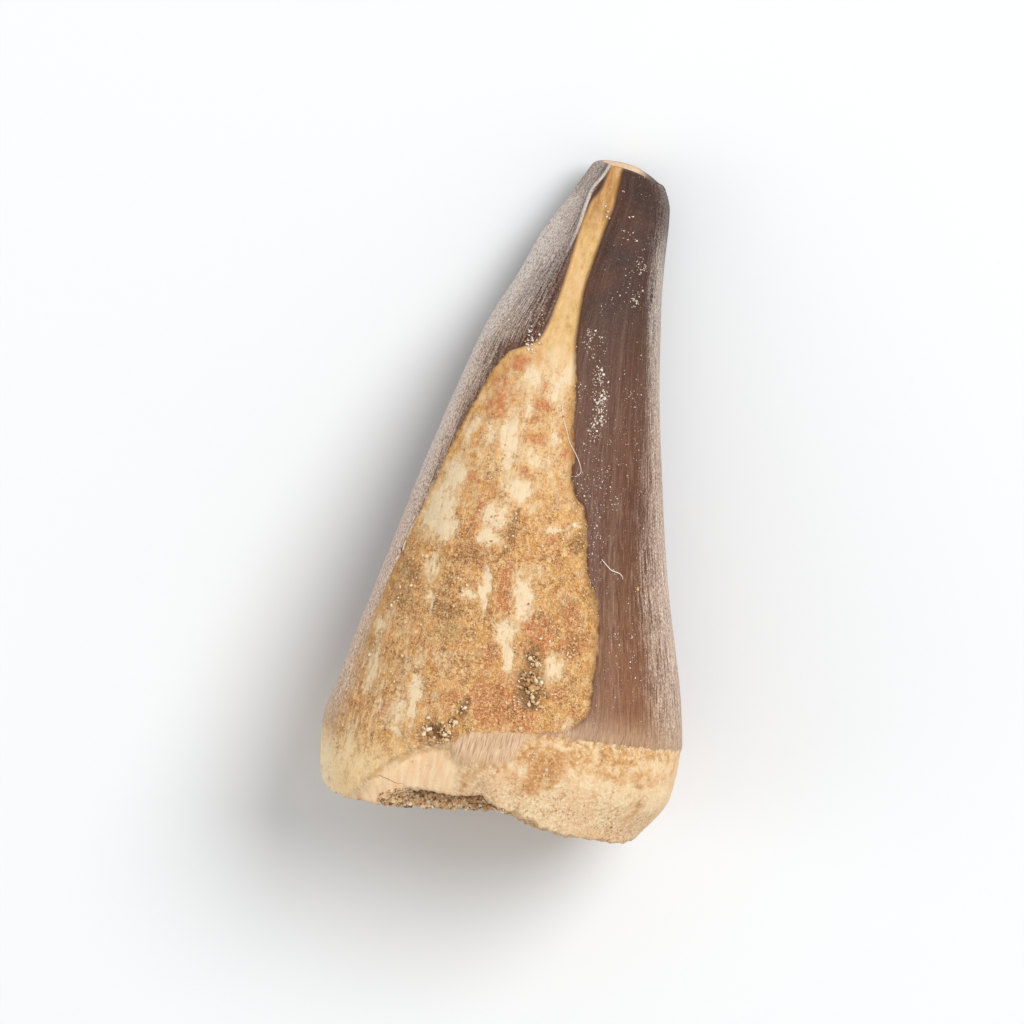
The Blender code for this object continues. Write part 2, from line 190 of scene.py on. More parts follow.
# Soft ellipses on bare dentine and neck: (x, height, half width, half height, lean in degrees, weight)
CREAM = [
    (-0.7, 31.0, 0.5, 1.8, 4, 0.9), (-0.7, 26.0, 0.5, 0.9, 0, 0.6), (-2.9, 27.6, 0.35, 1.4, 0, 0.7),
    (-4.9, 25.6, 0.5, 1.1, 8, 0.65), (-6.3, 25.6, 0.35, 1.1, 8, 0.75), (-1.2, 24.6, 0.8, 0.6, 0, 0.6),
    (-8.3, 21.2, 0.4, 1.2, 8, 0.7), (-9.9, 3.6, 0.5, 2.0, 0, 0.7), (-8.9, 2.6, 0.4, 1.0, 20, 0.6),
    (-1.8, 32.4, 1.0, 2.6, 3, 0.75), (-1.2, 29.6, 0.75, 1.4, 8, 0.8), (-3.0, 29.9, 0.75, 0.9, 0, 1.0),
    (-3.7, 25.6, 0.7, 1.7, -5, 1.0), (-3.5, 24.1, 0.55, 0.8, 0, 0.85), (-1.9, 24.6, 0.9, 0.8, 0, 0.75),
    (-2.3, 22.3, 1.1, 0.95, 0, 0.95), (-1.3, 21.4, 0.6, 0.4, 0, 0.6), (-6.7, 22.4, 0.8, 1.5, 8, 0.95),
    (-7.3, 19.9, 1.2, 2.0, 12, 0.95), (-6.6, 18.8, 0.8, 0.8, 0, 1.0), (-3.5, 20.3, 0.95, 1.1, 0, 1.0),
    (-3.6, 18.9, 0.85, 0.7, 0, 1.0), (0.6, 20.3, 0.65, 0.45, 0, 0.85), (1.7, 20.8, 0.8, 0.2, -20, 0.8),
    (0.1, 17.5, 0.5, 0.4, 0, 0.6), (-3.2, 15.7, 0.33, 1.7, -12, 1.0), (-4.1, 14.9, 0.65, 0.45, -10, 0.85),
    (-6.9, 16.4, 0.5, 1.2, 0, 0.75), (-6.6, 14.1, 0.25, 0.8, -15, 0.8), (-0.6, 15.5, 0.75, 1.8, -12, 0.95),
    (-1.3, 13.1, 0.75, 1.0, 0, 0.9), (-0.75, 11.5, 0.45, 1.5, -8, 1.0), (2.4, 11.2, 0.65, 1.15, 0, 0.85),
    (-6.25, 7.5, 0.5, 1.9, -3, 1.0), (-6.4, 10.0, 0.4, 0.9, 0, 0.6), (-7.4, 5.15, 1.1, 0.25, 6, 0.8),
    (-9.5, 11.5, 0.45, 0.9, 0, 0.7), (-5.0, 10.3, 0.8, 0.7, 0, 0.5), (-5.0, 8.2, 0.7, 0.8, 0, 0.35),
    (-1.0, 23.0, 0.5, 0.6, 0, 0.35), (-7.1, 6.4, 1.0, 1.4, 0, 0.65), (-7.3, 9.0, 0.9, 1.6, 0, 0.4),
    (-7.8, 11.8, 0.7, 1.0, 0, 0.4), (-5.6, 6.6, 0.6, 0.6, 0, 0.4), (3.9, 7.9, 0.7, 0.5, -20, 0.6),
    (-9.4, 8.8, 0.45, 2.2, 3, 0.8), (-8.6, 6.6, 0.25, 1.6, 3, 0.6), (-9.0, 12.6, 0.3, 1.2, 3, 0.5),
    (1.15, 15.4, 0.2, 0.2, 0, 0.9), (2.25, 15.8, 0.15, 0.15, 0, 0.9), (0.4, 6.4, 1.3, 0.25, -10, 0.6),
]
RUST = [
    (-3.9, 30.6, 0.85, 0.7, 0, 0.75), (-5.2, 29.6, 0.6, 1.3, 25, 0.45), (-4.9, 28.6, 0.7, 0.8, 0, 0.6),
    (-2.25, 29.6, 0.4, 0.4, 0, 0.7), (-2.1, 28.2, 0.65, 0.6, 10, 0.9), (-5.1, 27.3, 0.9, 0.9, 0, 0.6),
    (-2.3, 27.3, 0.8, 0.4, 0, 0.5), (-2.0, 25.9, 1.2, 0.4, 0, 0.7), (0.2, 25.4, 0.5, 0.5, 0, 0.75),
    (-0.4, 26.7, 0.4, 0.5, 0, 0.55), (-2.35, 23.5, 0.4, 0.5, 0, 0.8), (-5.6, 22.5, 0.4, 0.35, 0, 0.8),
    (-4.7, 20.3, 0.5, 1.8, 0, 0.6), (-6.5, 19.9, 0.35, 0.35, 0, 0.6), (0.5, 19.6, 0.4, 0.3, 0, 0.7),
    (-4.4, 17.6, 1.7, 0.7, 0, 0.55), (-1.95, 15.9, 0.5, 1.6, -5, 0.95), (0.15, 13.6, 0.45, 1.4, 0, 0.8),
    (2.7, 14.9, 0.7, 0.8, 0, 0.75), (3.1, 12.9, 0.9, 1.1, 0, 0.85), (1.1, 13.2, 0.8, 1.1, 0, 0.9),
    (-1.9, 11.1, 0.6, 1.0, 0, 0.7), (-3.8, 8.15, 0.45, 0.25, 0, 0.95), (-1.0, 8.3, 1.8, 1.5, 0, 0.9),
    (1.2, 7.6, 1.0, 0.7, 0, 0.9), (2.7, 9.6, 0.7, 0.6, 0, 0.85), (-10.0, 6.2, 0.5, 1.8, 3, 0.4),
    (3.2, 4.9, 1.9, 1.5, 0, 0.6), (2.7, 3.3, 0.6, 0.5, 0, 0.8), (-0.6, 3.7, 0.9, 0.7, 0, 0.2),
    (1.0, 4.2, 0.9, 0.8, 0, 0.3), (1.2, 2.7, 1.0, 0.6, 0, 0.2), (-8.0, 6.3, 0.6, 1.0, 0, 0.35),
    (-10.6, 2.2, 0.4, 1.2, 0, 0.4), (-9.2, 1.4, 0.8, 0.8, 0, 0.4), (5.4, 5.0, 0.4, 0.4, 0, 0.55),
]
BROWN = [
    (-2.2, 20.7, 0.3, 0.6, 0, 1.0), (-2.25, 19.1, 0.35, 1.1, 0, 0.8), (2.1, 19.8, 0.5, 0.5, 0, 0.85),
    (-4.6, 17.4, 1.6, 0.8, 0, 0.5), (-8.3, 15.6, 0.9, 0.8, 0, 0.6), (-8.4, 13.7, 0.9, 0.8, 0, 0.6),
    (-5.8, 15.2, 0.6, 1.0, 0, 0.7), (-5.3, 13.6, 1.4, 0.6, 0, 0.9), (-3.6, 12.4, 0.5, 0.4, 0, 0.7),
    (-8.0, 12.4, 0.8, 0.8, 0, 0.3), (-8.4, 4.4, 0.35, 0.5, 0, 0.8), (-4.6, 5.3, 1.5, 0.6, 0, 0.8),
    (0.8, 14.4, 0.3, 0.4, 0, 0.7), (3.2, 12.9, 0.8, 1.0, 0, 0.5), (3.4, 11.4, 1.2, 2.6, 5, 0.28),
    (3.2, 15.2, 0.9, 1.8, 8, 0.3), (-7.6, 9.6, 0.8, 1.3, 0, 0.2), (-5.0, 7.0, 0.8, 1.0, 0, 0.2),
    (1.2, 8.9, 0.8, 0.6, 0, 0.8), (9.5, 4.9, 0.4, 0.3, 0, 0.4), (9.7, 3.6, 0.22, 0.28, 0, 0.7),
    (-9.9, 4.4, 0.3, 1.0, 0, 0.4),
]
OLIVE = [
    (-5.15, 12.1, 1.0, 0.85, -20, 0.9), (-2.0, 31.1, 0.22, 0.25, 0, 0.6), (-3.2, 27.6, 0.2, 0.1, 30, 0.9),
    (-3.6, 20.2, 0.25, 0.2, 0, 0.7), (-3.4, 10.8, 0.7, 0.8, 0, 0.35),
]
# The first four, thin and leaning along the ledge, are painted shade on the facet under the step; the others
# are gold stains
GOLD_AND_LEDGE_SHADE = [
    (-8.0, 1.7, 0.16, 0.9, 42, 0.9), (-7.2, 2.7, 0.18, 0.8, 42, 0.9), (-6.1, 3.6, 0.18, 0.8, 52, 0.9),
    (-5.0, 4.2, 0.16, 0.7, 65, 0.8), (8.0, 6.3, 1.6, 0.45, 0, 0.7), (5.2, 5.8, 1.2, 0.6, 0, 0.75),
    (3.4, 5.5, 1.2, 0.9, 0, 1.0), (2.0, 5.7, 1.0, 0.8, 0, 1.0), (10.3, 6.8, 1.2, 0.3, 0, 0.6),
    (9.3, 3.4, 0.6, 0.9, 0, 0.25), (8.0, 5.5, 3.4, 0.9, 0, 0.4), (-0.5, 23.0, 1.2, 1.3, 0, 0.35),
    (1.6, 17.6, 1.5, 1.6, 10, 0.85), (3.2, 14.2, 1.2, 3.4, 10, 0.9), (-0.9, 43.0, 0.8, 1.6, -10, 1.0),
    (-5.2, 29.8, 0.5, 1.4, 25, 0.8), (3.4, 10.2, 1.2, 2.0, 0, 0.75), (1.7, 21.6, 0.9, 1.7, 0, 0.7),
    (-0.2, 26.6, 0.8, 1.6, 0, 0.6), (-0.8, 17.2, 0.7, 0.9, 0, 0.6), (-1.6, 35.0, 0.8, 1.2, 0, 0.45),
    (-2.0, 2.9, 0.5, 0.9, 0, 0.3), (3.1, 4.2, 1.2, 1.2, 0, 0.75),
]
# Dark ground under the sand, in the same form
GRAIN_BEDS = [
    (0.9, 11.6, 0.55, 0.8, 0, 1.0), (0.55, 10.3, 0.5, 0.5, 0, 1.0), (1.1, 9.8, 0.8, 1.2, 0, 1.0),
    (1.4, 8.7, 0.6, 0.5, 0, 0.8), (-4.2, 5.6, 0.95, 0.5, 10, 1.0), (-3.5, 6.4, 0.35, 0.35, 0, 1.0),
    (-3.05, 7.3, 0.25, 0.4, 0, 1.0), (-2.8, 7.9, 0.25, 0.3, 0, 0.8),
]
# Thin, pale enamel over the lower edge
THIN = [(3.6, 7.4, 1.2, 0.5, 15, 0.8)]
THIN_STRIP = (-5.0, -4.0, 1.9, 2.6)  # places across between which the strip sets in, and then runs out
# Hair cracks and scratches on the front: (x, height) at each end, half width, weight
CRACKS = [
    (-0.75, 6.0, -0.70, 5.1, 0.022, 0.55), (-0.42, 6.1, -0.38, 5.4, 0.018, 0.45),
    (0.02, 6.3, 0.0, 5.5, 0.022, 0.55), (0.33, 6.2, 0.31, 5.6, 0.018, 0.45),
    (-1.15, 5.8, -1.1, 5.1, 0.016, 0.45), (-1.5, 5.9, -1.52, 5.2, 0.018, 0.4),
    (-2.0, 5.6, -2.03, 4.9, 0.016, 0.4), (-2.5, 5.3, -2.5, 4.7, 0.016, 0.4),
    (0.75, 6.3, 0.72, 5.7, 0.018, 0.4), (-7.4, 2.1, -6.9, 1.95, 0.03, 0.7),
    (-6.9, 1.95, -6.2, 1.75, 0.025, 0.7), (-6.2, 1.75, -5.7, 1.8, 0.018, 0.5),
    (7.9, 7.9, 7.75, 6.9, 0.025, 0.5), (9.4, 8.4, 9.25, 7.1, 0.025, 0.45), (6.1, 8.0, 6.05, 7.0, 0.025, 0.45),
]
CRACK_BEND, CRACK_BENDS = 0.28, 1.6  # how far the lines wander, and how often in a millimetre
# Places across where the sediment in the chip sets in and ends, and where the worn tip's broken bone ends
SANDY_START, SANDY_END, WORN_TIP_END = (-7.9, -7.2), (0.9, 1.5), (0.9, 1.9)
# Small pits: (x, height, radius, depth)
PITS = [
    (6.6, 6.3, 0.28, 0.14), (9.8, 3.65, 0.2, 0.15), (9.2, 3.1, 0.14, 0.12), (-6.5, 9.15, 0.12, 0.15),
    (-3.2, 9.25, 0.14, 0.16), (-2.2, 20.9, 0.22, 0.14), (-2.3, 19.3, 0.18, 0.12), (2.2, 19.7, 0.22, 0.12),
    (-2.1, 23.2, 0.14, 0.08), (-4.3, 23.5, 0.12, 0.08), (-5.9, 29.5, 0.12, 0.1),
]
PIT_FLOOR, PIT_EDGE = 0.3, 1.3  # shares of a pit's radius

# ---------------------------------------------------------------- curves, steps and noise

SEED_STEP = np.array([17.3, 5.1, 9.7])  # how far apart two seeds sample the noise


def curve_through(points):
    """A smooth function through (place, value) points that never overshoots them (a monotone cubic)."""
    x, y = np.array(points, float).T
    step = np.diff(x)
    rise = np.diff(y) / step
    slope = np.concatenate([rise[:1], np.zeros(len(x) - 2), rise[-1:]])
    inner = np.where(rise[:-1] * rise[1:] > 0, 2 * rise[:-1] * rise[1:], 0.0)
    slope[1:-1] = inner / np.where(inner > 0, rise[:-1] + rise[1:], 1.0)

    def value(at):
        at = np.clip(at, x[0], x[-1])
        k = np.clip(np.searchsorted(x, at) - 1, 0, len(x) - 2)
        t = (at - x[k]) / step[k]
        start = y[k] * (1 + 2 * t) * (1 - t) ** 2 + slope[k] * step[k] * t * (1 - t) ** 2
        end = y[k + 1] * t * t * (3 - 2 * t) + slope[k + 1] * step[k] * t * t * (t - 1)
        return start + end

    return value


left_edge, right_edge = curve_through(LEFT_EDGE), curve_through(RIGHT_EDGE)
front_edge, back_edge = curve_through(FRONT_EDGE), curve_through(BACK_EDGE)
rim_height, chip_height, back_rim_rise = curve_through(RIM), curve_through(CHIP), curve_through(BACK_RIM)
carina_place = curve_through(CARINA)
dentine_left, dentine_right = curve_through(DENTINE_LEFT), curve_through(DENTINE_RIGHT)
dentine_foot, ledge_height = curve_through(DENTINE_FOOT), curve_through(LEDGE)
enamel_foot = curve_through(ENAMEL_FOOT)


def smoothstep(low, high, value):
    t = np.clip((value - low) / (high - low), 0.0, 1.0)
    return t * t * (3 - 2 * t)


def stepped(height, start, *changes):
    """A value that is start at the base, and that each change (from, to, by) raises up the tooth."""
    return start + sum(by * smoothstep(low, high, height) for low, high, by in changes)


def run_along(points):
    """How far along a line each of its points lies."""
    return np.concatenate([[0.0], np.cumsum(np.linalg.norm(np.diff(points, axis=0), axis=1))])


def noise_at(points, size, seed, octaves):
    """Smooth noise from about -1 to 1 at each point, with features of that size in millimetres."""
    flat = np.asarray(points, float).reshape(-1, 3) / size + SEED_STEP * seed
    values = [noise.fractal(Vector(p), 1.0, 2.0, octaves) for p in flat]
    return np.array(values).reshape(np.shape(points)[:-1])


def rough(points, *layers):
    """The rise of a rough surface at each point, from layers (rise, size, seed, octaves)."""
    return sum(rise * noise_at(points, size, seed, octaves) for rise, size, seed, octaves in layers)


def ellipses(x, height, shapes):
    """How far each place lies in a set of soft ellipses, from 0 to the largest weight there."""
    share = np.zeros_like(x)
    for centre_x, centre_height, half_width, half_height, lean, weight in shapes:
        cos, sin = math.cos(math.radians(lean)), math.sin(math.radians(lean))
        across, along = x - centre_x, height - centre_height
        sideways, lengthways = across * cos - along * sin, across * sin + along * cos
        radius = np.hypot(sideways / half_width, lengthways / half_height)
        share = np.maximum(share, weight * (1 - smoothstep(*PATCH_SOFTNESS, radius)))
    return share


# ---------------------------------------------------------------- the tooth's surface

ANGLES = np.concatenate([
    np.linspace(0, math.pi, FRONT_POINTS, endpoint=False),
    np.linspace(math.pi, 2 * math.pi, BACK_POINTS, endpoint=False),
])
FACING = np.sin(ANGLES)  # 1 at the middle of the front, -1 at the middle of the back


def widest_at(height):
    """How high above the floor the section is widest."""
    return back_edge(height) + WIDEST_SHARE * (front_edge(height) - back_edge(height))


def section(height, share=1.0, inset=0.0):
    """The crown's plain section at a height per angle: its points (x, z) and their outward directions."""
    cos, sin = np.cos(ANGLES), np.sin(ANGLES)
    left, right, widest = left_edge(height), right_edge(height), widest_at(height)
    half = (right - left) / 2 * share - inset
    depth = np.where(sin > 0, front_edge(height) - widest, widest - back_edge(height)) * share - inset
    power = np.where(sin > 0, FRONT_FULLNESS, BACK_FULLNESS)
    across, up = np.abs(cos) ** (2 / power), np.abs(sin) ** (2 / power)
    x = (left + right) / 2 + half * np.sign(cos) * across
    z = widest + depth * np.sign(sin) * up
    out = np.array([np.sign(cos) * across ** (power - 1) / half, np.sign(sin) * up ** (power - 1) / depth])
    return np.array([x, z]), out / np.linalg.norm(out, axis=0)


def flatten_to_carina(points, height):
    """Planes the front left down to a flat flank, which meets the front face in the side ridge."""
    x, z = points
    ridge = carina_place(height)
    left, right, widest = left_edge(height), right_edge(height), widest_at(height)
    across = np.clip(2 * ((left + right) / 2 - ridge) / (right - left), 0, 1)
    rise = (front_edge(height) - widest) * (1 - across**FRONT_FULLNESS) ** (1 / FRONT_FULLNESS)
    span = np.hypot(ridge - left, rise)
    normal = np.array([-rise / span, (ridge - left) / span])
    beyond = (x - left) * normal[0] + (z - widest) * normal[1]
    strength = smoothstep(*FLANK_FLATTENS, height)
    return points - normal * np.where((z > widest) & (x < ridge), np.maximum(beyond, 0), 0) * strength


def dentine_distance(x, height):
    """Distance inside the bare dentine in millimetres, negative on the enamel and round the back."""
    inside = np.minimum(x - dentine_left(height), dentine_right(height) - x)
    inside = np.minimum(inside, height - dentine_foot(x))
    return inside - ROUND_THE_BACK * (1 - smoothstep(*FRONT_FIELD, FACING))


def foot_distance(x, height):
    """Distance above the enamel's lower edge, negative on the root neck."""
    on_back = BACK_FOOT + BACK_FOOT_WAVE * np.sin(BACK_FOOT_WAVES * ANGLES + BACK_FOOT_START)
    on_front = smoothstep(*FRONT_FOOT, FACING)
    return height - (enamel_foot(x) * on_front + on_back * (1 - on_front))


def foot_wobble(x, place):
    """Raggedness of the enamel's lower edge, which is far greater left of the middle than right of it."""
    return (RAGGED_RIGHT + RAGGED_LEFT_MORE * (1 - smoothstep(*RAGGED_ENDS, x))) * rough(place, FOOT_WOBBLE)


def left_film_and_sheen(x, height):
    """Share of the pale, filmy weathering and its painted sheen in a band down the left edge, and over the
    whole flank left of the groove, with more painted sheen at the very edge.
    """
    from_left, beside = x - left_edge(height), dentine_left(height) - x
    width = stepped(height, *FILM_AND_SHEEN_LEFT_WIDTH)
    low = (1 - smoothstep(0.1 * width, 1.4 * width, from_left)) * stepped(height, *FILM_AND_SHEEN_LEFT_STRENGTH)
    across_flank = smoothstep(0.1, stepped(height, *FILM_AND_SHEEN_FLANK_REACH), beside)
    high = FILM_AND_SHEEN_BESIDE_GROOVE + (1 - FILM_AND_SHEEN_BESIDE_GROOVE) * across_flank
    high = high * smoothstep(-0.3, 0.1, beside)
    share = low + (high - low) * smoothstep(*BAND_WIDENS_TO_FLANK, height)
    # Painted sheen: the silhouette paler still, as seen at a grazing angle
    strength, fades = SHEEN_AT_LEFT_EDGE
    share += strength * (1 - smoothstep(*fades, from_left)) * smoothstep(*LEFT_EDGE_PALES, height)
    past_ridge = smoothstep(0.05, 0.3, x - carina_place(height)) * smoothstep(*FILM_AND_SHEEN_THIN_PAST_RIDGE, height)
    return share * stepped(height, *FILM_AND_SHEEN_TIP_STRENGTH) * (1 - FILM_AND_SHEEN_LOST_PAST_RIDGE * past_ridge)


def right_sheen(x, height):
    """Share of the painted sheen in a band down the right edge, strongest at the very edge."""
    from_right = right_edge(height) - x
    share = 1 - smoothstep(0.0, stepped(height, *SHEEN_RIGHT_WIDTH), from_right)
    share = share * stepped(height, *SHEEN_RIGHT_STRENGTH)
    # Painted sheen: paler still at the very edge
    strength, fades = SHEEN_AT_RIGHT_EDGE
    at_middle = smoothstep(*RIGHT_EDGE_PALES, height) * (1 - smoothstep(*RIGHT_EDGE_DULLS, height))
    return share + strength * (1 - smoothstep(*fades, from_right)) * at_middle


def film_and_sheen_share(x, height):
    """Share of the pale, filmy weathering and the painted sheen, of which the back has only a trace."""
    on_front = FILM_AND_SHEEN_ON_BACK + (1 - FILM_AND_SHEEN_ON_BACK) * smoothstep(*FRONT_FILM_AND_SHEEN, FACING)
    return np.maximum(left_film_and_sheen(x, height), right_sheen(x, height)) * on_front


def thin_share(x, height, warp):
    """Share of the thin enamel: a strip under the bare field, and soft spots."""
    starts, full_from, full_to, ends = THIN_STRIP
    strip = smoothstep(starts, full_from, x + warp) * (1 - smoothstep(full_to, ends, x + warp))
    strip = strip * (1 - smoothstep(*STRIP_RUNS_OUT, height))
    return np.maximum(strip, ellipses(x, height, THIN)) * (FACING > LEAST_FRONT)


def streaky_share(x, height):
    """1 in the lower left, where the bare dentine is streaked and runs softly into the enamel's film."""
    return (1 - smoothstep(*STREAKS_END, x)) * (1 - smoothstep(*STREAKS_RUN_OUT, height))


def sliver_shade_share(x, height):
    """Share of the darker, redder enamel between the side ridge and the groove: painted shade where it slopes
    down into the groove.
    """
    inside = np.minimum(x - carina_place(height), dentine_left(height) - x)
    return smoothstep(-0.5, 0.5, inside) * smoothstep(*SLIVER_SHADE_STARTS, height) * (FACING > 0)


def scar_depth(x, height):
    """Depth of the flake scar: a step down at the ledge, then deeper towards the rim."""
    below = ledge_height(x) - height
    inside = (x > LEDGE[0][0]) & (x < LEDGE[-1][0])
    step = SCAR_STEP * (1 - smoothstep(*SCAR_STEP_ENDS, x))
    depth = step * smoothstep(*SCAR_STEP_WIDTH, below) + SCAR_SLOPE * np.clip(below, 0, None)
    return np.where(inside, np.minimum(depth, SCAR_DEEPEST), 0.0) * smoothstep(*FRONT_SCAR, FACING)


def pit_depth(x, height):
    depth = np.zeros_like(x)
    for pit_x, pit_height, radius, deepest in PITS:
        apart = np.hypot(x - pit_x, height - pit_height)
        depth += deepest * (1 - smoothstep(PIT_FLOOR * radius, PIT_EDGE * radius, apart))
    return depth * (FACING > LEAST_FRONT)


def rim_at_angles(chipped):
    """Height of the base rim at each angle, a little ragged, with or without the chip in its front."""
    x = section(np.full(len(ANGLES), RIM_CENTRE_HEIGHT))[0][0]
    loop = RIM_LOOP * np.column_stack([np.cos(ANGLES), np.sin(ANGLES), np.zeros(len(ANGLES))])
    height = rim_height(x) + back_rim_rise(ANGLES) + rough(loop, RIM_ROUGHNESS)
    if chipped:
        rise = np.where((x > CHIP[0][0]) & (x < CHIP[-1][0]), chip_height(x) - rim_height(x), 0.0)
        height = height + np.maximum(rise, 0.0) * smoothstep(*FRONT_CHIP, FACING)
    return height


def tip_height(x, z):
    """Height of the worn tip face over the place across and up."""
    beside = x - TIP_PEAK_X
    fall = np.where(beside > 0, TIP_FALL_RIGHT * beside**3, TIP_FALL_LEFT * beside**2)
    return LENGTH - fall - TIP_LEAN * (z - back_edge(LENGTH))


def as_ring(points, height):
    """A ring's corners as rows (x, y, z): y is the height counted from the middle of the length."""
    return np.column_stack([points[0], height - LENGTH / 2, np.maximum(points[1], 0.0)])


# Distance round the crown from its right side, for each angle
AROUND = run_along(section(np.full(len(ANGLES), AROUND_HEIGHT))[0].T)


def second_ridge(height):
    """The low ridge up the hidden side, opposite the side ridge."""
    apart = (AROUND - SECOND_RIDGE_PLACE) / SECOND_RIDGE_WIDTH
    return SECOND_RIDGE_RISE * np.exp(-(apart**2)) * smoothstep(*SECOND_RIDGE_RISES, height)


def relief(x, height, place):
    """How far the surface stands proud of the plain crown, negative where it is sunk."""
    on_front = smoothstep(*FRONT_RELIEF, FACING)
    in_groove = smoothstep(*GROOVE_STARTS, height)
    wobble = rough(place, EDGE_WOBBLE) * (1 - GROOVE_EDGE_STRAIGHTER * in_groove)
    half_edge = ENAMEL_EDGE_WIDTH / 2 * (1 + STREAKED_EDGE_WIDER * streaky_share(x, height))
    dentine = smoothstep(-half_edge, half_edge, dentine_distance(x, height) + wobble)
    above_foot = smoothstep(*ENAMEL_STEP_WIDTH, foot_distance(x, height) + foot_wobble(x, place))
    enamel = above_foot * (1 - dentine)
    sandy = dentine * (1 - CREAM_SMOOTHER * ellipses(x, height, CREAM))
    sandy = sandy * (1 - smoothstep(*SAND_RUNS_OUT, height))
    streak_at = np.stack([np.broadcast_to(AROUND, x.shape) / STREAK_WIDTH, height / STREAK_LENGTH, 0 * x], -1)
    ridge = CARINA_RISE * np.exp(-((x - carina_place(height)) / CARINA_WIDTH) ** 2)
    proud = -ENAMEL_THICKNESS * dentine * on_front * smoothstep(*DENTINE_SINKS, height)
    proud -= ENAMEL_STEP * (1 - above_foot)
    proud += enamel * rough(streak_at, STREAKS)
    proud += ridge * smoothstep(*CARINA_RISES, height) * on_front + second_ridge(height)
    proud += sandy * rough(place, *SANDY_ROUGHNESS) + (1 - enamel) * rough(place, BARE_ROUGHNESS)
    proud += rough(place, CROWN_ROUGHNESS) - BED_DEPTH * ellipses(x, height, GRAIN_BEDS) * on_front
    return proud - scar_depth(x, height) - pit_depth(x, height)


def crown_ring(height, inset=0.0):
    """A ring of the outer surface with all its relief."""
    points, out = section(height)
    points = flatten_to_carina(points, height)
    place = as_ring(points, height)
    return as_ring(points + out * (relief(points[0], height, place) - inset), height)


def cavity_ring(rim, climb):
    height = rim + climb * (CAVITY_HEIGHT - rim)
    return as_ring(section(height, CAVITY_SHARE * math.sqrt(1 - climb))[0], height)


def crown_rings():
    """Rings of the outer surface from the base rim to the worn tip, then over the tip's rounded edge."""
    rim = rim_at_angles(chipped=True)
    edge = section(np.full(len(ANGLES), LENGTH - TIP_ROUND), inset=TIP_ROUND)[0]
    top = tip_height(*edge)
    rings = [crown_ring(rim + share * (top - TIP_ROUND - rim)) for share in np.linspace(0, 1, CROWN_RINGS)]
    for turn in np.linspace(0, math.pi / 2, TIP_RINGS + 1)[1:]:
        rings.append(crown_ring(top - TIP_ROUND * (1 - math.sin(turn)), TIP_ROUND * (1 - math.cos(turn))))
    return rings


def cap_rings(edge):
    """Rings across the worn tip face, from its edge to its middle."""
    centre = edge.mean(axis=0)
    rings = []
    for share in np.linspace(1, 0, CAP_RINGS + 2)[1:-1]:
        inner = centre + (edge - centre) * share
        inner[:, 1] = tip_height(inner[:, 0], inner[:, 2]) - LENGTH / 2
        inner[:, 1] += rough(inner, *CAP_ROUGHNESS) * (1 - share)
        rings.append(inner)
    return rings


def rim_rings(outer, inner):
    """Rings across the broken face of the base, from the cavity's mouth out to the rim."""
    rings = []
    for share in np.linspace(0, 1, RIM_RINGS + 2)[1:-1]:
        between = inner + (outer - inner) * share
        between[:, 1] += (rough(between, *RIM_FACE_ROUGHNESS) + RIM_FACE_SWELL) * math.sin(math.pi * share)
        rings.append(between)
    return rings


def tooth_rings():
    """All rings of the tooth's skin from inside the cavity to the tip, and the part that each belongs to."""
    crown = crown_rings()
    rim = rim_at_angles(chipped=True)
    climbs = np.linspace(0, 1, CAVITY_RINGS + 1)[:-1] ** CAVITY_SPACING
    cavity = [cavity_ring(rim, climb) for climb in reversed(climbs)]
    broken = rim_rings(crown[0], cavity[-1])
    cap = cap_rings(crown[-1])
    parts = ["cavity"] * len(cavity) + ["base"] * len(broken) + ["crown"] * len(crown) + ["cap"] * len(cap)
    return np.array(cavity + broken + crown + cap), np.array(parts)


# ---------------------------------------------------------------- making meshes

def ring_faces(rows, columns):
    """Quads between neighbouring rings, as corner indices."""
    r, c = np.meshgrid(np.arange(rows - 1), np.arange(columns), indexing="ij")
    after = (c + 1) % columns
    quads = [r * columns + c, (r + 1) * columns + c, (r + 1) * columns + after, r * columns + after]
    return np.stack(quads, -1).reshape(-1, 4)


def link_mesh(name, corners, faces):
    """An object with a smooth-shaded mesh, from corners in millimetres."""
    mesh = bpy.data.meshes.new(name)
    mesh.from_pydata((np.asarray(corners) * MM).tolist(), [], [list(map(int, f)) for f in faces])
    mesh.validate()
    mesh.shade_smooth()
    made = bpy.data.objects.new(name, mesh)
    bpy.context.scene.collection.objects.link(made)
    return made


def give(made, name, values):
    """Stores one number per corner under a name that the material reads."""
    attribute = made.data.attributes.new(name, "FLOAT", "POINT")
    attribute.data.foreach_set("value", np.asarray(values, np.float32).ravel())


def lay_out(made, rings):
    """A map of the skin for baked textures: across by the place in the ring, up by the way along the skin."""
    rows, columns = rings.shape[:2]
    run = np.linalg.norm(np.diff(rings, axis=0), axis=2).mean(axis=1)
    up = np.concatenate([[0.0], np.cumsum(run)])
    up = BAKE_MARGIN + (1 - 2 * BAKE_MARGIN) * up / up[-1]
    row, column = np.meshgrid(np.arange(rows - 1), np.arange(columns), indexing="ij")
    across = [column, column, column + 1, column + 1]
    upward = [up[row], up[row + 1], up[row + 1], up[row]]
    quads = np.stack([np.stack([u / columns, v], -1) for u, v in zip(across, upward)], 2)
    column, flat = np.arange(columns), np.ones(columns)
    corners = [(column, up[0] * flat), (column + 1, up[0] * flat), (column + 0.5, 0 * flat)]
    corners += [(column + 0.5, flat), (column + 1, up[-1] * flat), (column, up[-1] * flat)]
    fans = [np.stack([u / columns, v], -1) for u, v in corners]
    fans = np.concatenate([np.stack(fans[:3], 1), np.stack(fans[3:], 1)])
    layout = made.data.uv_layers.new(name="OFBake")
    layout.data.foreach_set("uv", np.concatenate([quads.ravel(), fans.ravel()]))


def finish_piece(made, material, slot, *replaced):
    made.data.materials.append(material)
    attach(made, "root")
    if replaced:
        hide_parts(*replaced)


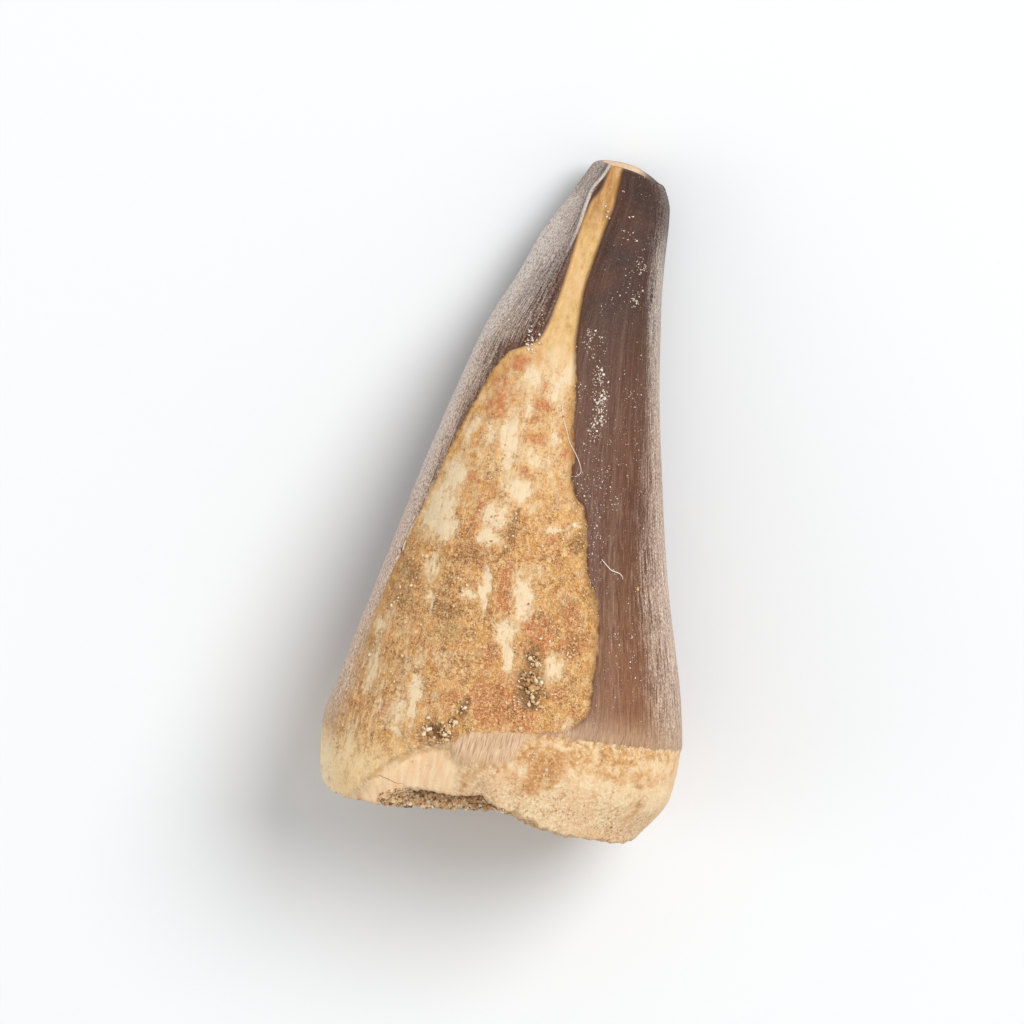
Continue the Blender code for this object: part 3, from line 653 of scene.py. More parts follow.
class Graph:
    """A material's nodes, built by short calls that take and return sockets."""

    def __init__(self, name):
        self.material = bpy.data.materials.new(name)
        self.material.use_nodes = True
        self.tree = self.material.node_tree
        self.shader = self.tree.nodes["Principled BSDF"]
        scaled = self.node("ShaderNodeVectorMath", operation="SCALE")
        self.tree.links.new(self.node("ShaderNodeTexCoord").outputs["Object"], scaled.inputs[0])
        scaled.inputs["Scale"].default_value = 1 / MM
        self.place = scaled.outputs[0]

    def node(self, kind, **settings):
        made = self.tree.nodes.new(kind)
        for name, value in settings.items():
            setattr(made, name, value)
        return made

    def plug(self, socket, value):
        if isinstance(value, bpy.types.NodeSocket):
            self.tree.links.new(value, socket)
        elif isinstance(value, tuple) and socket.type == "RGBA":
            socket.default_value = (*value[:3], 1.0)
        else:
            socket.default_value = value

    def stored(self, name):
        return self.node("ShaderNodeAttribute", attribute_name=name).outputs["Fac"]

    def math(self, operation, *given, clamp=False):
        made = self.node("ShaderNodeMath", operation=operation, use_clamp=clamp)
        for socket, value in zip(made.inputs, given):
            self.plug(socket, value)
        return made.outputs[0]

    def add(self, first, *others):
        for other in others:
            first = self.math("ADD", first, other)
        return first

    def times(self, first, *others):
        for other in others:
            first = self.math("MULTIPLY", first, other)
        return first

    def rest(self, share):
        return self.math("SUBTRACT", 1.0, share)

    def ramp(self, value, low, high, start=0.0, end=1.0):
        """start below low, end above high, and smooth between."""
        made = self.node("ShaderNodeMapRange", interpolation_type="SMOOTHSTEP")
        places = {"Value": value, "From Min": low, "From Max": high, "To Min": start, "To Max": end}
        for name, given in places.items():
            self.plug(made.inputs[name], given)
        return made.outputs["Result"]

    def vector(self, x, y, z=0.0):
        made = self.node("ShaderNodeCombineXYZ")
        for socket, given in zip(made.inputs, (x, y, z)):
            self.plug(socket, given)
        return made.outputs[0]

    def noise(self, size, detail=3.0, roughness=0.55, at=None, stretch=None):
        """Noise from 0 to 1 with features of that size in millimetres, or stretched by (x, y, z)."""
        at = at or self.place
        if stretch:
            at = self.vector_math("DIVIDE", at, stretch)
        made = self.node("ShaderNodeTexNoise")
        self.plug(made.inputs["Vector"], at)
        made.inputs["Scale"].default_value = 1.0 / size
        made.inputs["Detail"].default_value = detail
        made.inputs["Roughness"].default_value = roughness
        return made.outputs["Fac"]

    def seams(self, pattern):
        """0 along the lines where a pattern crosses its middle, and more away from them."""
        return self.math("ABSOLUTE", self.add(pattern, -0.5))

    def mix(self, factor, first, second, blend="MIX"):
        made = self.node("ShaderNodeMix", data_type="RGBA", blend_type=blend)
        colours = [socket for socket in made.inputs if socket.type == "RGBA"]
        self.plug(made.inputs["Factor"], factor)
        self.plug(colours[0], first)
        self.plug(colours[1], second)
        return next(socket for socket in made.outputs if socket.type == "RGBA")

    def tint(self, colour, *layers):
        """Lays tints over a colour in turn. Each is (tint, pattern, low, high, share): it sets in as the
        pattern goes from low to high, up to that share."""
        for tint, pattern, low, high, share in layers:
            colour = self.mix(self.times(self.ramp(pattern, low, high), share), colour, tint)
        return colour

    def bump(self, height, distance, before=None):
        """Height of 0 to 1 over that many millimetres."""
        made = self.node("ShaderNodeBump")
        made.inputs["Strength"].default_value = 1.0
        made.inputs["Distance"].default_value = distance * MM
        self.plug(made.inputs["Height"], height)
        if before is not None:
            self.plug(made.inputs["Normal"], before)
        return made.outputs["Normal"]

    def cracks(self, lines):
        """1 on any of a set of straight hair lines, which a little noise bends, and 0 beside them."""
        bend = self.node("ShaderNodeTexNoise")
        self.plug(bend.inputs["Vector"], self.place)
        bend.inputs["Scale"].default_value = CRACK_BENDS
        reach = (CRACK_BEND, CRACK_BEND, 0.0)
        bent = self.vector_math("MULTIPLY_ADD", bend.outputs["Color"], reach, self.place)
        flat = self.vector_math("MULTIPLY", bent, (1.0, 1.0, 0.0))
        middle = CRACK_BEND / 2
        share = 0.0
        for start_x, start_height, end_x, end_height, half_width, weight in lines:
            start = (start_x + middle, start_height - LENGTH / 2 + middle, 0.0)
            run = Vector((end_x - start_x, end_height - start_height, 0.0))
            beyond = self.vector_math("SUBTRACT", flat, start)
            along = self.times(self.vector_math("DOT_PRODUCT", beyond, tuple(run)), 1 / run.length_squared)
            nearest = self.node("ShaderNodeVectorMath", operation="SCALE")
            nearest.inputs[0].default_value = run
            self.plug(nearest.inputs["Scale"], self.math("ADD", along, 0.0, clamp=True))
            apart = self.vector_math("DISTANCE", beyond, nearest.outputs[0])
            line = self.ramp(apart, 1.6 * half_width, 0.4 * half_width, 0.0, weight)
            share = self.math("MAXIMUM", line, share)
        return share

    def vector_math(self, operation, *given):
        made = self.node("ShaderNodeVectorMath", operation=operation)
        for socket, value in zip(made.inputs, given):
            self.plug(socket, value)
        return made.outputs["Value" if operation in ("DOT_PRODUCT", "DISTANCE") else "Vector"]

    def done(self, colour, roughness, normal=None, ior=1.5):
        self.plug(self.shader.inputs["Base Color"], colour)
        self.plug(self.shader.inputs["Roughness"], roughness)
        self.shader.inputs["IOR"].default_value = ior
        if normal is not None:
            self.plug(self.shader.inputs["Normal"], normal)
        return self.material


# ---------------------------------------------------------------- colours, in linear light

ENAMEL_DARK, ENAMEL_MID, ENAMEL_LOW = (0.036, 0.011, 0.006), (0.125, 0.045, 0.018), (0.235, 0.095, 0.038)
ENAMEL_RED, ENAMEL_SHEEN = (0.105, 0.030, 0.012), (0.80, 0.58, 0.44)
# Painted shade on the enamel beside the bare field
ENAMEL_SHADE_BESIDE_FIELD = (0.15, 0.062, 0.026)
ENAMEL_THIN, ENAMEL_THIN_STRIP = (0.60, 0.38, 0.22), (0.66, 0.43, 0.255)
THIN_LINE_DARK, THIN_LINE_PALE = (0.32, 0.19, 0.11), (0.88, 0.68, 0.48)
# Colours of the pale, filmy weathering with its painted sheen; the palest of them is painted sheen at the
# silhouettes, and the ridge colour a painted highlight
FILM_AND_SHEEN_LOW, FILM_AND_SHEEN_MID, FILM_AND_SHEEN_HIGH = (0.96, 0.65, 0.40), (0.91, 0.65, 0.48), (0.86, 0.70, 0.60)
SHEEN_PALEST, FILM_AND_SHEEN_FLECK, RIDGE_HIGHLIGHT = (0.95, 0.85, 0.77), (0.95, 0.84, 0.75), (0.84, 0.74, 0.65)

OCHRE, UPPER_OCHRE, TAN = (0.80, 0.41, 0.14), (0.76, 0.45, 0.19), (0.62, 0.265, 0.075)
# The gold stain colour also paints shade on the facet under the ledge
GOLD_STAIN_AND_LEDGE_SHADE, RUST_STAIN = (0.69, 0.345, 0.085), (0.54, 0.155, 0.05)
BROWN_STAIN, OLIVE_STAIN = (0.30, 0.145, 0.055), (0.52, 0.33, 0.13)
UMBER, BEIGE = (0.44, 0.195, 0.062), (0.90, 0.64, 0.36)
CREAM_PATCH, CREAM_FIBRE, CREAM_HEART = (0.83, 0.64, 0.39), (0.80, 0.50, 0.22), (0.86, 0.71, 0.50)
LOW_DENTINE, LOW_STREAK_PALE, LOW_STREAK_DARK = (1.0, 0.74, 0.40), (0.98, 0.72, 0.42), (0.46, 0.21, 0.075)
# Painted light on the low left edge of the dentine, which faces away from the key light
LEFT_EDGE_PAINTED_LIGHT = (1.0, 0.84, 0.58)
FIELD_EDGE = (0.46, 0.26, 0.085)
GROOVE, GROOVE_TIP, GROOVE_DARK = (0.72, 0.45, 0.185), (0.46, 0.225, 0.068), (0.46, 0.27, 0.075)
GROOVE_PALE, GROOVE_STREAK = (0.86, 0.62, 0.32), (0.78, 0.52, 0.27)
CRUST_GAP, CRUST_SEAM, CRUST_TOP = (0.38, 0.165, 0.052), (0.33, 0.14, 0.045), (0.95, 0.62, 0.29)
CRUMB_GAP, CRUMB_TOP = (0.29, 0.125, 0.042), (0.96, 0.63, 0.30)
SPECK_DARK, SPECK_PALE = (0.18, 0.08, 0.028), (1.0, 0.77, 0.44)

NECK_CREAM, NECK_PINK, NECK_TAN = (0.82, 0.62, 0.37), (0.79, 0.53, 0.31), (0.72, 0.44, 0.21)
NECK_GOLD, NECK_RUST = (0.64, 0.345, 0.12), (0.56, 0.26, 0.085)
NECK_GAP, NECK_CRUST, NECK_SEAM = (0.40, 0.18, 0.06), (0.92, 0.66, 0.37), (0.42, 0.20, 0.07)
NECK_SPECK, NECK_PALE_SPECK, NECK_PINPRICK = (0.42, 0.195, 0.068), (0.97, 0.80, 0.56), (0.24, 0.11, 0.04)

# The scar's gold also paints shade on the facet under the ledge
SCAR_PINK, SCAR_PALE, SCAR_GOLD_AND_LEDGE_SHADE = (0.91, 0.59, 0.34), (1.0, 0.75, 0.47), (0.76, 0.47, 0.20)
BONE_PALE, BONE_DARK, BONE_PIT = (0.82, 0.56, 0.33), (0.58, 0.34, 0.16), (0.36, 0.19, 0.085)
BONE_STAIN, BONE_TIP = (0.50, 0.28, 0.11), (0.88, 0.66, 0.48)
HAIR_CRACK, SAND_BED_GROUND = (0.10, 0.05, 0.03), (0.15, 0.075, 0.03)

SAND_LIGHT, SAND_DARK = (0.92, 0.72, 0.45), (0.70, 0.40, 0.17)
SAND_RUSTY, SAND_GAP = (0.52, 0.24, 0.09), (0.11, 0.05, 0.02)
GRAIN_DARKEST, GRAIN_MIDDLE = (0.40, 0.21, 0.08), (0.66, 0.40, 0.18)
CAVITY_GRAIN_DARKEST, CAVITY_GRAIN_MIDDLE = (0.24, 0.10, 0.035), (0.66, 0.39, 0.175)
GRAIN_LIGHT, GRAIN_LIGHTEST, GRAIN_SPECK = (0.84, 0.64, 0.40), (0.90, 0.80, 0.64), (0.20, 0.10, 0.04)
DUST_DARK, DUST_PALE = (0.66, 0.50, 0.38), (0.90, 0.84, 0.76)
FIBRE_TAN, FIBRE_PALE = (0.80, 0.68, 0.52), (0.93, 0.88, 0.80)
FLOOR_WHITE = (0.855, 0.87, 0.88)

PATCH_EDGE = 0.2, 0.62  # the ragged edge of a listed patch, once noise breaks it up


# ---------------------------------------------------------------- materials


def film_and_sheen_look(g, along, fine, hairs, grain):
    """How much the pale, filmy weathering and its painted sheen cover the enamel, broken up by hair lines and
    grain, and their colour.
    """
    share = g.stored("film")
    break_up = g.add(fine, g.times(grain, 1.1), g.times(hairs, 0.7), -1.4)
    cover = g.math("MULTIPLY_ADD", break_up, 1.9, share, clamp=True)
    cover = g.times(cover, g.ramp(share, 0.02, 0.4))
    colour = g.mix(g.ramp(along, 4.0, 14.0), FILM_AND_SHEEN_LOW, FILM_AND_SHEEN_MID)
    colour = g.mix(g.ramp(along, 26.0, 38.0), colour, FILM_AND_SHEEN_HIGH)
    # Painted sheen: palest at the silhouettes, which are seen at a grazing angle
    colour = g.tint(colour, (SHEEN_PALEST, share, 0.95, 1.35, g.ramp(along, 16.0, 26.0, 0.0, 0.6)))
    return cover, colour


def enamel_look(g, along, streak_at):
    """Dark chocolate at the tip to lighter brown below, finely striated and streaked with painted sheen, with
    the pale, filmy weathering and its painted sheen on the flank, painted shade where the enamel slopes into
    the groove, and a painted highlight along the side ridge.
    """
    hairs = g.noise(1.0, 2.0, 0.6, streak_at, (0.10, 1.1, 1.0))
    fine = g.noise(1.0, 2.0, 0.6, streak_at, (0.17, 3.0, 1.0))
    coarse = g.noise(1.0, 3.0, 0.6, streak_at, (0.7, 24.0, 1.0))
    broad = g.noise(1.0, 2.0, 0.5, streak_at, (2.4, 60.0, 1.0))
    grain, speckle = g.noise(0.13, 3.0, 0.75), g.noise(0.19, 2.0, 0.65, streak_at, (0.85, 1.25, 1.0))
    film, film_and_sheen_colour = film_and_sheen_look(g, along, fine, hairs, grain)
    colour = g.mix(g.ramp(along, 41.0, 24.0), ENAMEL_DARK, ENAMEL_MID)
    colour = g.mix(g.ramp(along, 23.0, 9.0), colour, ENAMEL_LOW)
    colour = g.tint(colour, (ENAMEL_RED, g.noise(4.5, 3.0), 0.45, 0.7, 0.6))
    # Painted shade: darker and redder where the enamel slopes down into the groove
    colour = g.mix(g.times(g.stored("sliver"), 0.4), colour, ENAMEL_RED)
    colour = g.mix(g.times(film, 0.87), colour, film_and_sheen_colour)
    lit = g.mix(0.45, colour, ENAMEL_SHEEN, "SCREEN")
    dull = g.mix(0.7, colour, ENAMEL_DARK)
    striated = g.times(g.ramp(along, 38.0, 16.0, 0.22, 1.0), g.ramp(along, 16.0, 9.0, 1.0, 0.75))
    colour = g.tint(
        colour,
        (lit, broad, 0.50, 0.72, g.ramp(along, 38.0, 24.0, 0.05, 0.16)),
        (lit, coarse, 0.52, 0.75, g.ramp(along, 40.0, 24.0, 0.05, 0.2)),
        (lit, fine, 0.52, 0.76, g.times(striated, 0.35)),
        (dull, fine, 0.47, 0.27, striated),
        (lit, hairs, 0.54, 0.74, g.times(striated, 0.4)),
        (dull, hairs, 0.44, 0.26, striated),
        (dull, grain, 0.48, 0.38, g.add(g.times(film, 0.65), 0.15)),
        (lit, grain, 0.54, 0.65, g.add(g.times(film, 0.5), 0.15)),
        (dull, speckle, 0.46, 0.38, g.times(film, 0.85)),
        (FILM_AND_SHEEN_FLECK, speckle, 0.54, 0.64, g.times(film, 0.7)),
    )
    # Painted highlight: a pale line along the top of the side ridge near the tip
    crest_highlight = g.times(g.ramp(along, 37.0, 42.0), g.ramp(grain, 0.3, 0.5, 0.3, 0.9))
    colour = g.tint(colour, (RIDGE_HIGHLIGHT, g.math("ABSOLUTE", g.stored("carina")), 0.17, 0.04, crest_highlight))
    rough_grain = g.times(grain, g.add(g.times(film, 1.6), 0.15))
    return colour, g.add(g.times(fine, 0.4), g.times(hairs, 0.4), rough_grain)


def sandy_look(g):
    """Sandy sediment: cream to brown crumbs with dark gaps."""
    tone, patchy = g.noise(0.24, 4.0, 0.75), g.noise(0.9, 3.0, 0.6)
    colour = g.mix(g.ramp(g.add(tone, g.times(patchy, 0.4)), 0.58, 0.80), SAND_DARK, SAND_LIGHT)
    return g.tint(colour, (SAND_RUSTY, patchy, 0.5, 0.66, 0.5), (SAND_GAP, tone, 0.47, 0.37, 1.0))


def mottled_ground(g, along, sandy, wide, placed):
    """The bare dentine's ochre, tan and gold, its mottling, and the listed stains."""
    upper = g.ramp(along, 19.0, 25.0)
    pale = g.add(g.noise(0.8, 5.0, 0.7, stretch=(0.75, 1.3, 1.0)), g.times(upper, 0.09))
    rusty = g.noise(1.1, 5.0, 0.7, stretch=(0.9, 1.4, 1.2))
    umber = g.noise(0.75, 5.0, 0.78, stretch=(0.8, 1.5, 1.0))
    beige = g.noise(0.6, 5.0, 0.78, stretch=(0.7, 1.6, 1.0))
    colour = g.mix(g.ramp(wide, 0.36, 0.62), g.mix(upper, OCHRE, UPPER_OCHRE), g.mix(upper, TAN, OCHRE))
    return g.tint(
        colour,
        (GOLD_STAIN_AND_LEDGE_SHADE, g.noise(2.6, 3.0, 0.6), 0.45, 0.65, 0.7),
        # Along the ledge these gold patches are painted shade on the facet under the step
        (GOLD_STAIN_AND_LEDGE_SHADE, placed["gold"], *PATCH_EDGE, 0.7),
        (CREAM_PATCH, pale, 0.52, 0.68, g.times(sandy, 0.7)),
        (RUST_STAIN, rusty, 0.50, 0.68, g.times(sandy, 0.65)),
        (UMBER, umber, 0.49, 0.60, g.times(sandy, g.ramp(upper, 0.0, 1.0, 0.55, 0.3))),
        (BEIGE, beige, 0.51, 0.61, g.times(sandy, g.ramp(upper, 0.0, 1.0, 0.65, 0.35))),
        (RUST_STAIN, placed["rust"], *PATCH_EDGE, 0.78),
        (OLIVE_STAIN, placed["olive"], *PATCH_EDGE, 0.75),
        (BROWN_STAIN, placed["brown"], *PATCH_EDGE, 0.68),
    )


def cream_patches(g, colour, middle, break_up):
    """The colour with fibrous cream patches on it, and how much they cover."""
    fibrous = g.noise(1.0, 3.0, 0.6, stretch=(0.22, 1.1, 0.5))
    cream = g.ramp(g.add(g.stored("cream"), g.times(break_up, 0.7), fibrous, -0.5), 0.08, 0.88)
    colour = g.mix(g.times(cream, g.ramp(middle, 0.3, 0.5, 0.7, 0.95)), colour, CREAM_PATCH)
    fibres = (CREAM_FIBRE, fibrous, 0.48, 0.34, g.times(cream, 0.4))
    return g.tint(colour, fibres, (CREAM_HEART, cream, 0.8, 1.0, 0.5)), cream


def lower_dentine(g, along, colour, middle, sandy):
    """The colour paler towards the rim, streaked, and palest at the outermost left, where painted light
    brightens the low left edge.
    """
    streaks = g.noise(1.0, 4.0, 0.7, stretch=(0.2, 2.4, 0.6))
    streaky = g.math("MULTIPLY_ADD", g.stored("streaky"), 0.5, g.times(sandy, 0.2))
    return g.tint(
        colour,
        (LOW_DENTINE, along, 5.5, 2.0, g.ramp(middle, 0.3, 0.55, 0.6, 0.97)),
        (LOW_STREAK_PALE, streaks, 0.52, 0.64, streaky),
        (LOW_STREAK_DARK, streaks, 0.47, 0.36, g.times(streaky, g.ramp(along, 1.5, 6.0, 0.35, 1.0))),
        # Painted light on the low left edge, which faces away from the key light
        (LEFT_EDGE_PAINTED_LIGHT, g.stored("film"), 0.3, 1.1, g.ramp(along, 6.0, 3.0, 0.0, 0.75)),
    )


def groove_look(g, along):
    """The groove's dentine: smooth, pale and softly mottled, and browner at the tip."""
    mottle = g.noise(0.5, 4.0, 0.7, stretch=(0.8, 1.4, 1.0))
    return g.tint(
        g.mix(g.ramp(along, 39.5, 41.8), GROOVE, GROOVE_TIP),
        (GROOVE_DARK, mottle, 0.49, 0.36, 0.6),
        (GROOVE_PALE, mottle, 0.53, 0.64, g.ramp(along, 42.0, 39.5, 0.2, 0.5)),
        (GROOVE_STREAK, g.noise(1.0, 3.0, 0.5, stretch=(0.4, 4.0, 1.0)), 0.42, 0.7, 0.7),
    )


def dentine_look(g, along):
    """Mottled gold, tan, rust and cream with sandy crumbs below, smooth and pale in the groove."""
    wide, middle, small = g.noise(1.3, 4.0, 0.6), g.noise(0.5, 4.0, 0.65), g.noise(0.17, 3.0, 0.7)
    tiny, crust = g.noise(0.09, 2.0, 0.7), g.noise(0.32, 4.0, 0.75, stretch=(0.9, 1.3, 1.0))
    sandy = g.ramp(along, 33.0, 29.5)
    break_up = g.times(g.add(g.times(wide, 0.5), middle, g.times(small, 0.7), -1.1), sandy, 1.5)
    placed = {name: g.add(g.stored(name), break_up) for name in ("gold", "rust", "olive", "brown")}
    colour = mottled_ground(g, along, sandy, wide, placed)
    colour, cream = cream_patches(g, colour, middle, break_up)
    colour = lower_dentine(g, along, colour, middle, sandy)
    colour = g.mix(g.ramp(along, 30.5, 33.0), colour, groove_look(g, along))
    calmer_above, calmer_at_rim = g.ramp(along, 27.0, 16.0, 0.6, 1.0), g.ramp(along, 2.0, 6.0, 0.4, 1.0)
    busy = g.times(g.rest(g.times(cream, 0.8)), g.add(g.times(sandy, 0.8), 0.12), calmer_above, calmer_at_rim)
    brown = g.ramp(placed["brown"], *PATCH_EDGE)
    clumps = g.ramp(g.add(g.noise(1.1, 4.0, 0.7), g.times(brown, 0.2)), 0.43, 0.60, 0.2, 1.0)
    crumbs = g.times(busy, clumps)
    colour = g.tint(
        colour,
        (CRUST_GAP, crust, 0.49, 0.40, g.times(crumbs, 0.8)),
        (CRUST_SEAM, g.seams(crust), 0.022, 0.0, g.times(busy, 0.5)),
        (CRUST_TOP, crust, 0.53, 0.61, g.times(busy, 0.6)),
        (CRUMB_GAP, small, 0.48, 0.39, g.times(crumbs, 0.9)),
        (CRUMB_TOP, small, 0.54, 0.63, g.times(busy, 0.6)),
        (SPECK_DARK, tiny, 0.45, 0.34, g.times(crumbs, 0.8)),
        (SPECK_PALE, tiny, 0.55, 0.66, g.times(busy, 0.5)),
    )
    height = g.add(g.times(small, 1.4), g.times(crust, 2.0), tiny)
    return colour, g.add(g.times(height, busy), g.times(middle, 1.2))


def neck_look(g, along):
    """Cream root neck, pinkish in places, with brown speckles that crowd towards the rim."""
    wide, middle, speck = g.noise(2.2, 4.0, 0.6), g.noise(0.6, 4.0, 0.65), g.noise(0.2, 3.0, 0.7)
    crust, tiny = g.noise(0.34, 4.0, 0.75), g.noise(0.09, 2.0, 0.7)
    break_up = g.add(wide, middle, g.times(speck, 0.8), -1.4)
    placed = {name: g.add(g.stored(name), break_up) for name in ("gold", "rust", "brown")}
    golden = g.times(g.ramp(placed["gold"], 0.1, 0.6), g.ramp(middle, 0.36, 0.55, 0.5, 1.0))
    under_enamel = g.times(g.ramp(g.stored("foot"), -1.2, -0.1), g.ramp(middle, 0.38, 0.6))
    golden = g.math("MAXIMUM", golden, under_enamel)
    crowd = g.ramp(g.add(g.times(along, -0.13), g.noise(1.3, 3.0, 0.6)), -0.15, 0.3, 0.25, 1.0)
    crowd = g.math("MAXIMUM", crowd, g.times(golden, 0.8))
    crowd = g.times(crowd, g.ramp(g.noise(0.7, 4.0, 0.7), 0.40, 0.60, 0.3, 1.0))
    colour = g.mix(g.ramp(wide, 0.42, 0.6), NECK_CREAM, NECK_PINK)
    colour = g.tint(colour, (NECK_TAN, middle, 0.5, 0.7, 0.55))
    colour = g.mix(g.times(golden, 0.85), colour, NECK_GOLD)
    colour = g.tint(
        colour,
        (NECK_RUST, placed["rust"], *PATCH_EDGE, 0.78),
        (BROWN_STAIN, placed["brown"], 0.2, 0.6, 0.5),
        (NECK_GAP, crust, 0.48, 0.38, g.times(golden, 0.75)),
        (NECK_CRUST, crust, 0.53, 0.61, g.times(golden, 0.5)),
        (NECK_SEAM, g.seams(crust), 0.02, 0.0, g.add(g.times(golden, 0.4), 0.15)),
        (NECK_SPECK, speck, 0.50, 0.38, g.times(crowd, 0.85)),
        (NECK_PALE_SPECK, speck, 0.53, 0.66, g.ramp(golden, 0.0, 1.0, 0.6, 0.3)),
        (NECK_PINPRICK, tiny, 0.44, 0.30, g.times(crowd, 0.7)),
    )
    return colour, g.add(g.times(speck, 0.8), g.times(middle, 0.8))


def thin_look(g, enamel, above_foot, streak_at):
    """The enamel with its thin, pale part laid over it, along its lower edge and under the field."""
    thin = g.math("MAXIMUM", g.times(g.ramp(above_foot, 2.5, 0.0), 0.58), g.stored("thin"))
    hair = g.noise(1.0, 2.0, 0.55, streak_at, (0.085, 1.1, 1.0))
    colour = g.mix(g.stored("thin"), ENAMEL_THIN, ENAMEL_THIN_STRIP)
    colour = g.tint(colour, (THIN_LINE_DARK, hair, 0.48, 0.36, 0.6), (THIN_LINE_PALE, hair, 0.53, 0.66, 0.5))
    return g.mix(thin, enamel, colour)


def scar_look(g, streak_at):
    """The smooth bone of the flake scar, golden where it is stained, and golden-brown painted shade on the
    facet along the ledge.
    """
    grain = g.noise(1.0, 3.0, 0.6, streak_at, (0.3, 2.5, 1.0))
    smooth = g.mix(g.ramp(grain, 0.35, 0.65), SCAR_PINK, SCAR_PALE)
    # Along the ledge the gold is painted shade on the facet under the step
    return g.tint(smooth, (SCAR_GOLD_AND_LEDGE_SHADE, g.stored("gold"), 0.2, 0.8, 0.75))


def broken_look(g, along, around):
    """Broken bone, in layers round the cavity, and paler at the tip."""
    depth = g.stored("layer")
    layers = g.noise(1.0, 3.0, 0.65, g.vector(g.times(around, 0.12), g.times(depth, 9.0)))
    pitted = g.noise(0.45, 4.0, 0.7)
    return g.tint(
        g.mix(g.ramp(layers, 0.4, 0.62), BONE_PALE, BONE_DARK),
        (BONE_PIT, pitted, 0.5, 0.32, 0.65),
        (BONE_STAIN, depth, 0.45, 0.02, g.ramp(pitted, 0.62, 0.4)),
        (BONE_TIP, along, 42.5, 43.5, 0.4),
    )


def bare_share(g, streak_at, edge_noise):
    """1 on the bare dentine, with a ragged edge that is soft where the dentine is streaked."""
    streaky = g.stored("streaky")
    softness = g.math("MULTIPLY_ADD", streaky, 0.7, 0.13)
    streaks = g.noise(1.0, 4.0, 0.65, streak_at, (0.3, 2.0, 1.0))
    uneven = g.times(g.add(streaks, -0.5), streaky, 2.0)
    inside = g.add(g.stored("dentine"), edge_noise, uneven)
    return g.ramp(inside, g.times(softness, -1.0), softness)


def with_dentine(g, along, colour, on_enamel, bare, dentine):
    """The colour with the bare dentine over it, painted shade on the enamel beside it, and its own edge
    darker too.
    """
    bare_of_film_and_sheen = g.ramp(g.stored("film"), 0.3, 0.02)
    # Painted shade on the enamel beside the field, where the pale weathering and its sheen are thin
    shade_beside_field = g.times(on_enamel, g.ramp(along, 7.0, 10.0, 0.0, 0.32), bare_of_film_and_sheen)
    colour = g.tint(colour, (ENAMEL_SHADE_BESIDE_FIELD, g.stored("dentine"), -0.6, -0.05, shade_beside_field))
    edge_width = g.ramp(along, *GROOVE_STARTS, 0.7, 0.22)
    along_edge = g.times(bare, g.ramp(along, 8.0, 12.0, 0.0, 0.5))
    edge = (FIELD_EDGE, g.stored("dentine"), edge_width, 0.0, along_edge)
    return g.tint(g.mix(bare, colour, dentine), edge)


def tooth_material():
    """Enamel, neck, bare dentine, scar, broken bone and sediment, each laid over the ones before it."""
    g = Graph("tooth_surface")
    along, around = g.stored("along"), g.stored("around")
    streak_at = g.vector(around, along)
    edge_noise = g.times(g.add(g.noise(0.6, 4.0, 0.65), -0.5), g.ramp(along, *GROOVE_STARTS, 0.6, 0.12))
    enamel, enamel_height = enamel_look(g, along, streak_at)
    dentine, dentine_height = dentine_look(g, along)
    neck, neck_height = neck_look(g, along)
    above_foot = g.add(g.stored("foot"), g.times(edge_noise, 1.2))
    full_from = g.math("MULTIPLY_ADD", g.stored("thin"), 0.5, 0.1)
    on_enamel = g.ramp(above_foot, g.times(g.stored("thin"), -0.5), full_from)
    colour = g.mix(on_enamel, neck, thin_look(g, enamel, above_foot, streak_at))
    bare = bare_share(g, streak_at, edge_noise)
    colour = with_dentine(g, along, colour, on_enamel, bare, dentine)
    scar = g.times(g.stored("scar"), g.ramp(g.noise(0.5, 3.0), 0.25, 0.4))
    broken = g.stored("broken")
    colour = g.mix(g.times(scar, 0.88), colour, scar_look(g, streak_at))
    colour = g.mix(g.times(g.cracks(CRACKS), g.stored("front")), colour, HAIR_CRACK)
    colour = g.mix(broken, colour, broken_look(g, along, around))
    colour = g.mix(g.stored("sandy"), colour, sandy_look(g))
    colour = g.mix(g.times(g.stored("bed"), 0.85), colour, SAND_BED_GROUND)
    plain = g.times(on_enamel, g.rest(bare), g.rest(broken))
    roughness = g.add(g.ramp(plain, 0.0, 1.0, 0.78, 0.36), g.times(g.noise(0.3, 3.0), 0.12))
    fine = g.mix(plain, g.mix(bare, neck_height, dentine_height), enamel_height)
    fine = g.mix(g.times(scar, 0.8), fine, (0.5, 0.5, 0.5))
    normal = g.bump(fine, 0.05)
    normal = g.bump(g.noise(0.09, 2.0, 0.6), 0.012, normal)
    return g.done(colour, roughness, normal, ior=1.35)


# ---------------------------------------------------------------- pieces

def make_tooth():
    rings, parts = tooth_rings()
    rows, columns = rings.shape[:2]
    corners = rings.reshape(-1, 3)
    faces = ring_faces(rows, columns).tolist()
    ends = [rings[0].mean(axis=0), rings[-1].mean(axis=0)]
    i = np.arange(columns)
    j = (i + 1) % columns
    end, last = np.full(columns, len(corners)), (rows - 1) * columns
    faces += np.stack([i, j, end], 1).tolist() + np.stack([end + 1, last + j, last + i], 1).tolist()
    made = link_mesh("tooth_surface", np.vstack([corners, ends]), faces)
    lay_out(made, rings)
    store_tooth_fields(made, rings, parts)
    return made


def broken_share(x, parts):
    """1 on the broken base, in the cavity and on the worn tip's left part, 0 on the crown."""
    base = np.isin(parts, ["base", "cavity"])[:, None]
    cap = (parts == "cap")[:, None] * (1 - smoothstep(*WORN_TIP_END, x))
    return np.where(base, 1.0, cap)


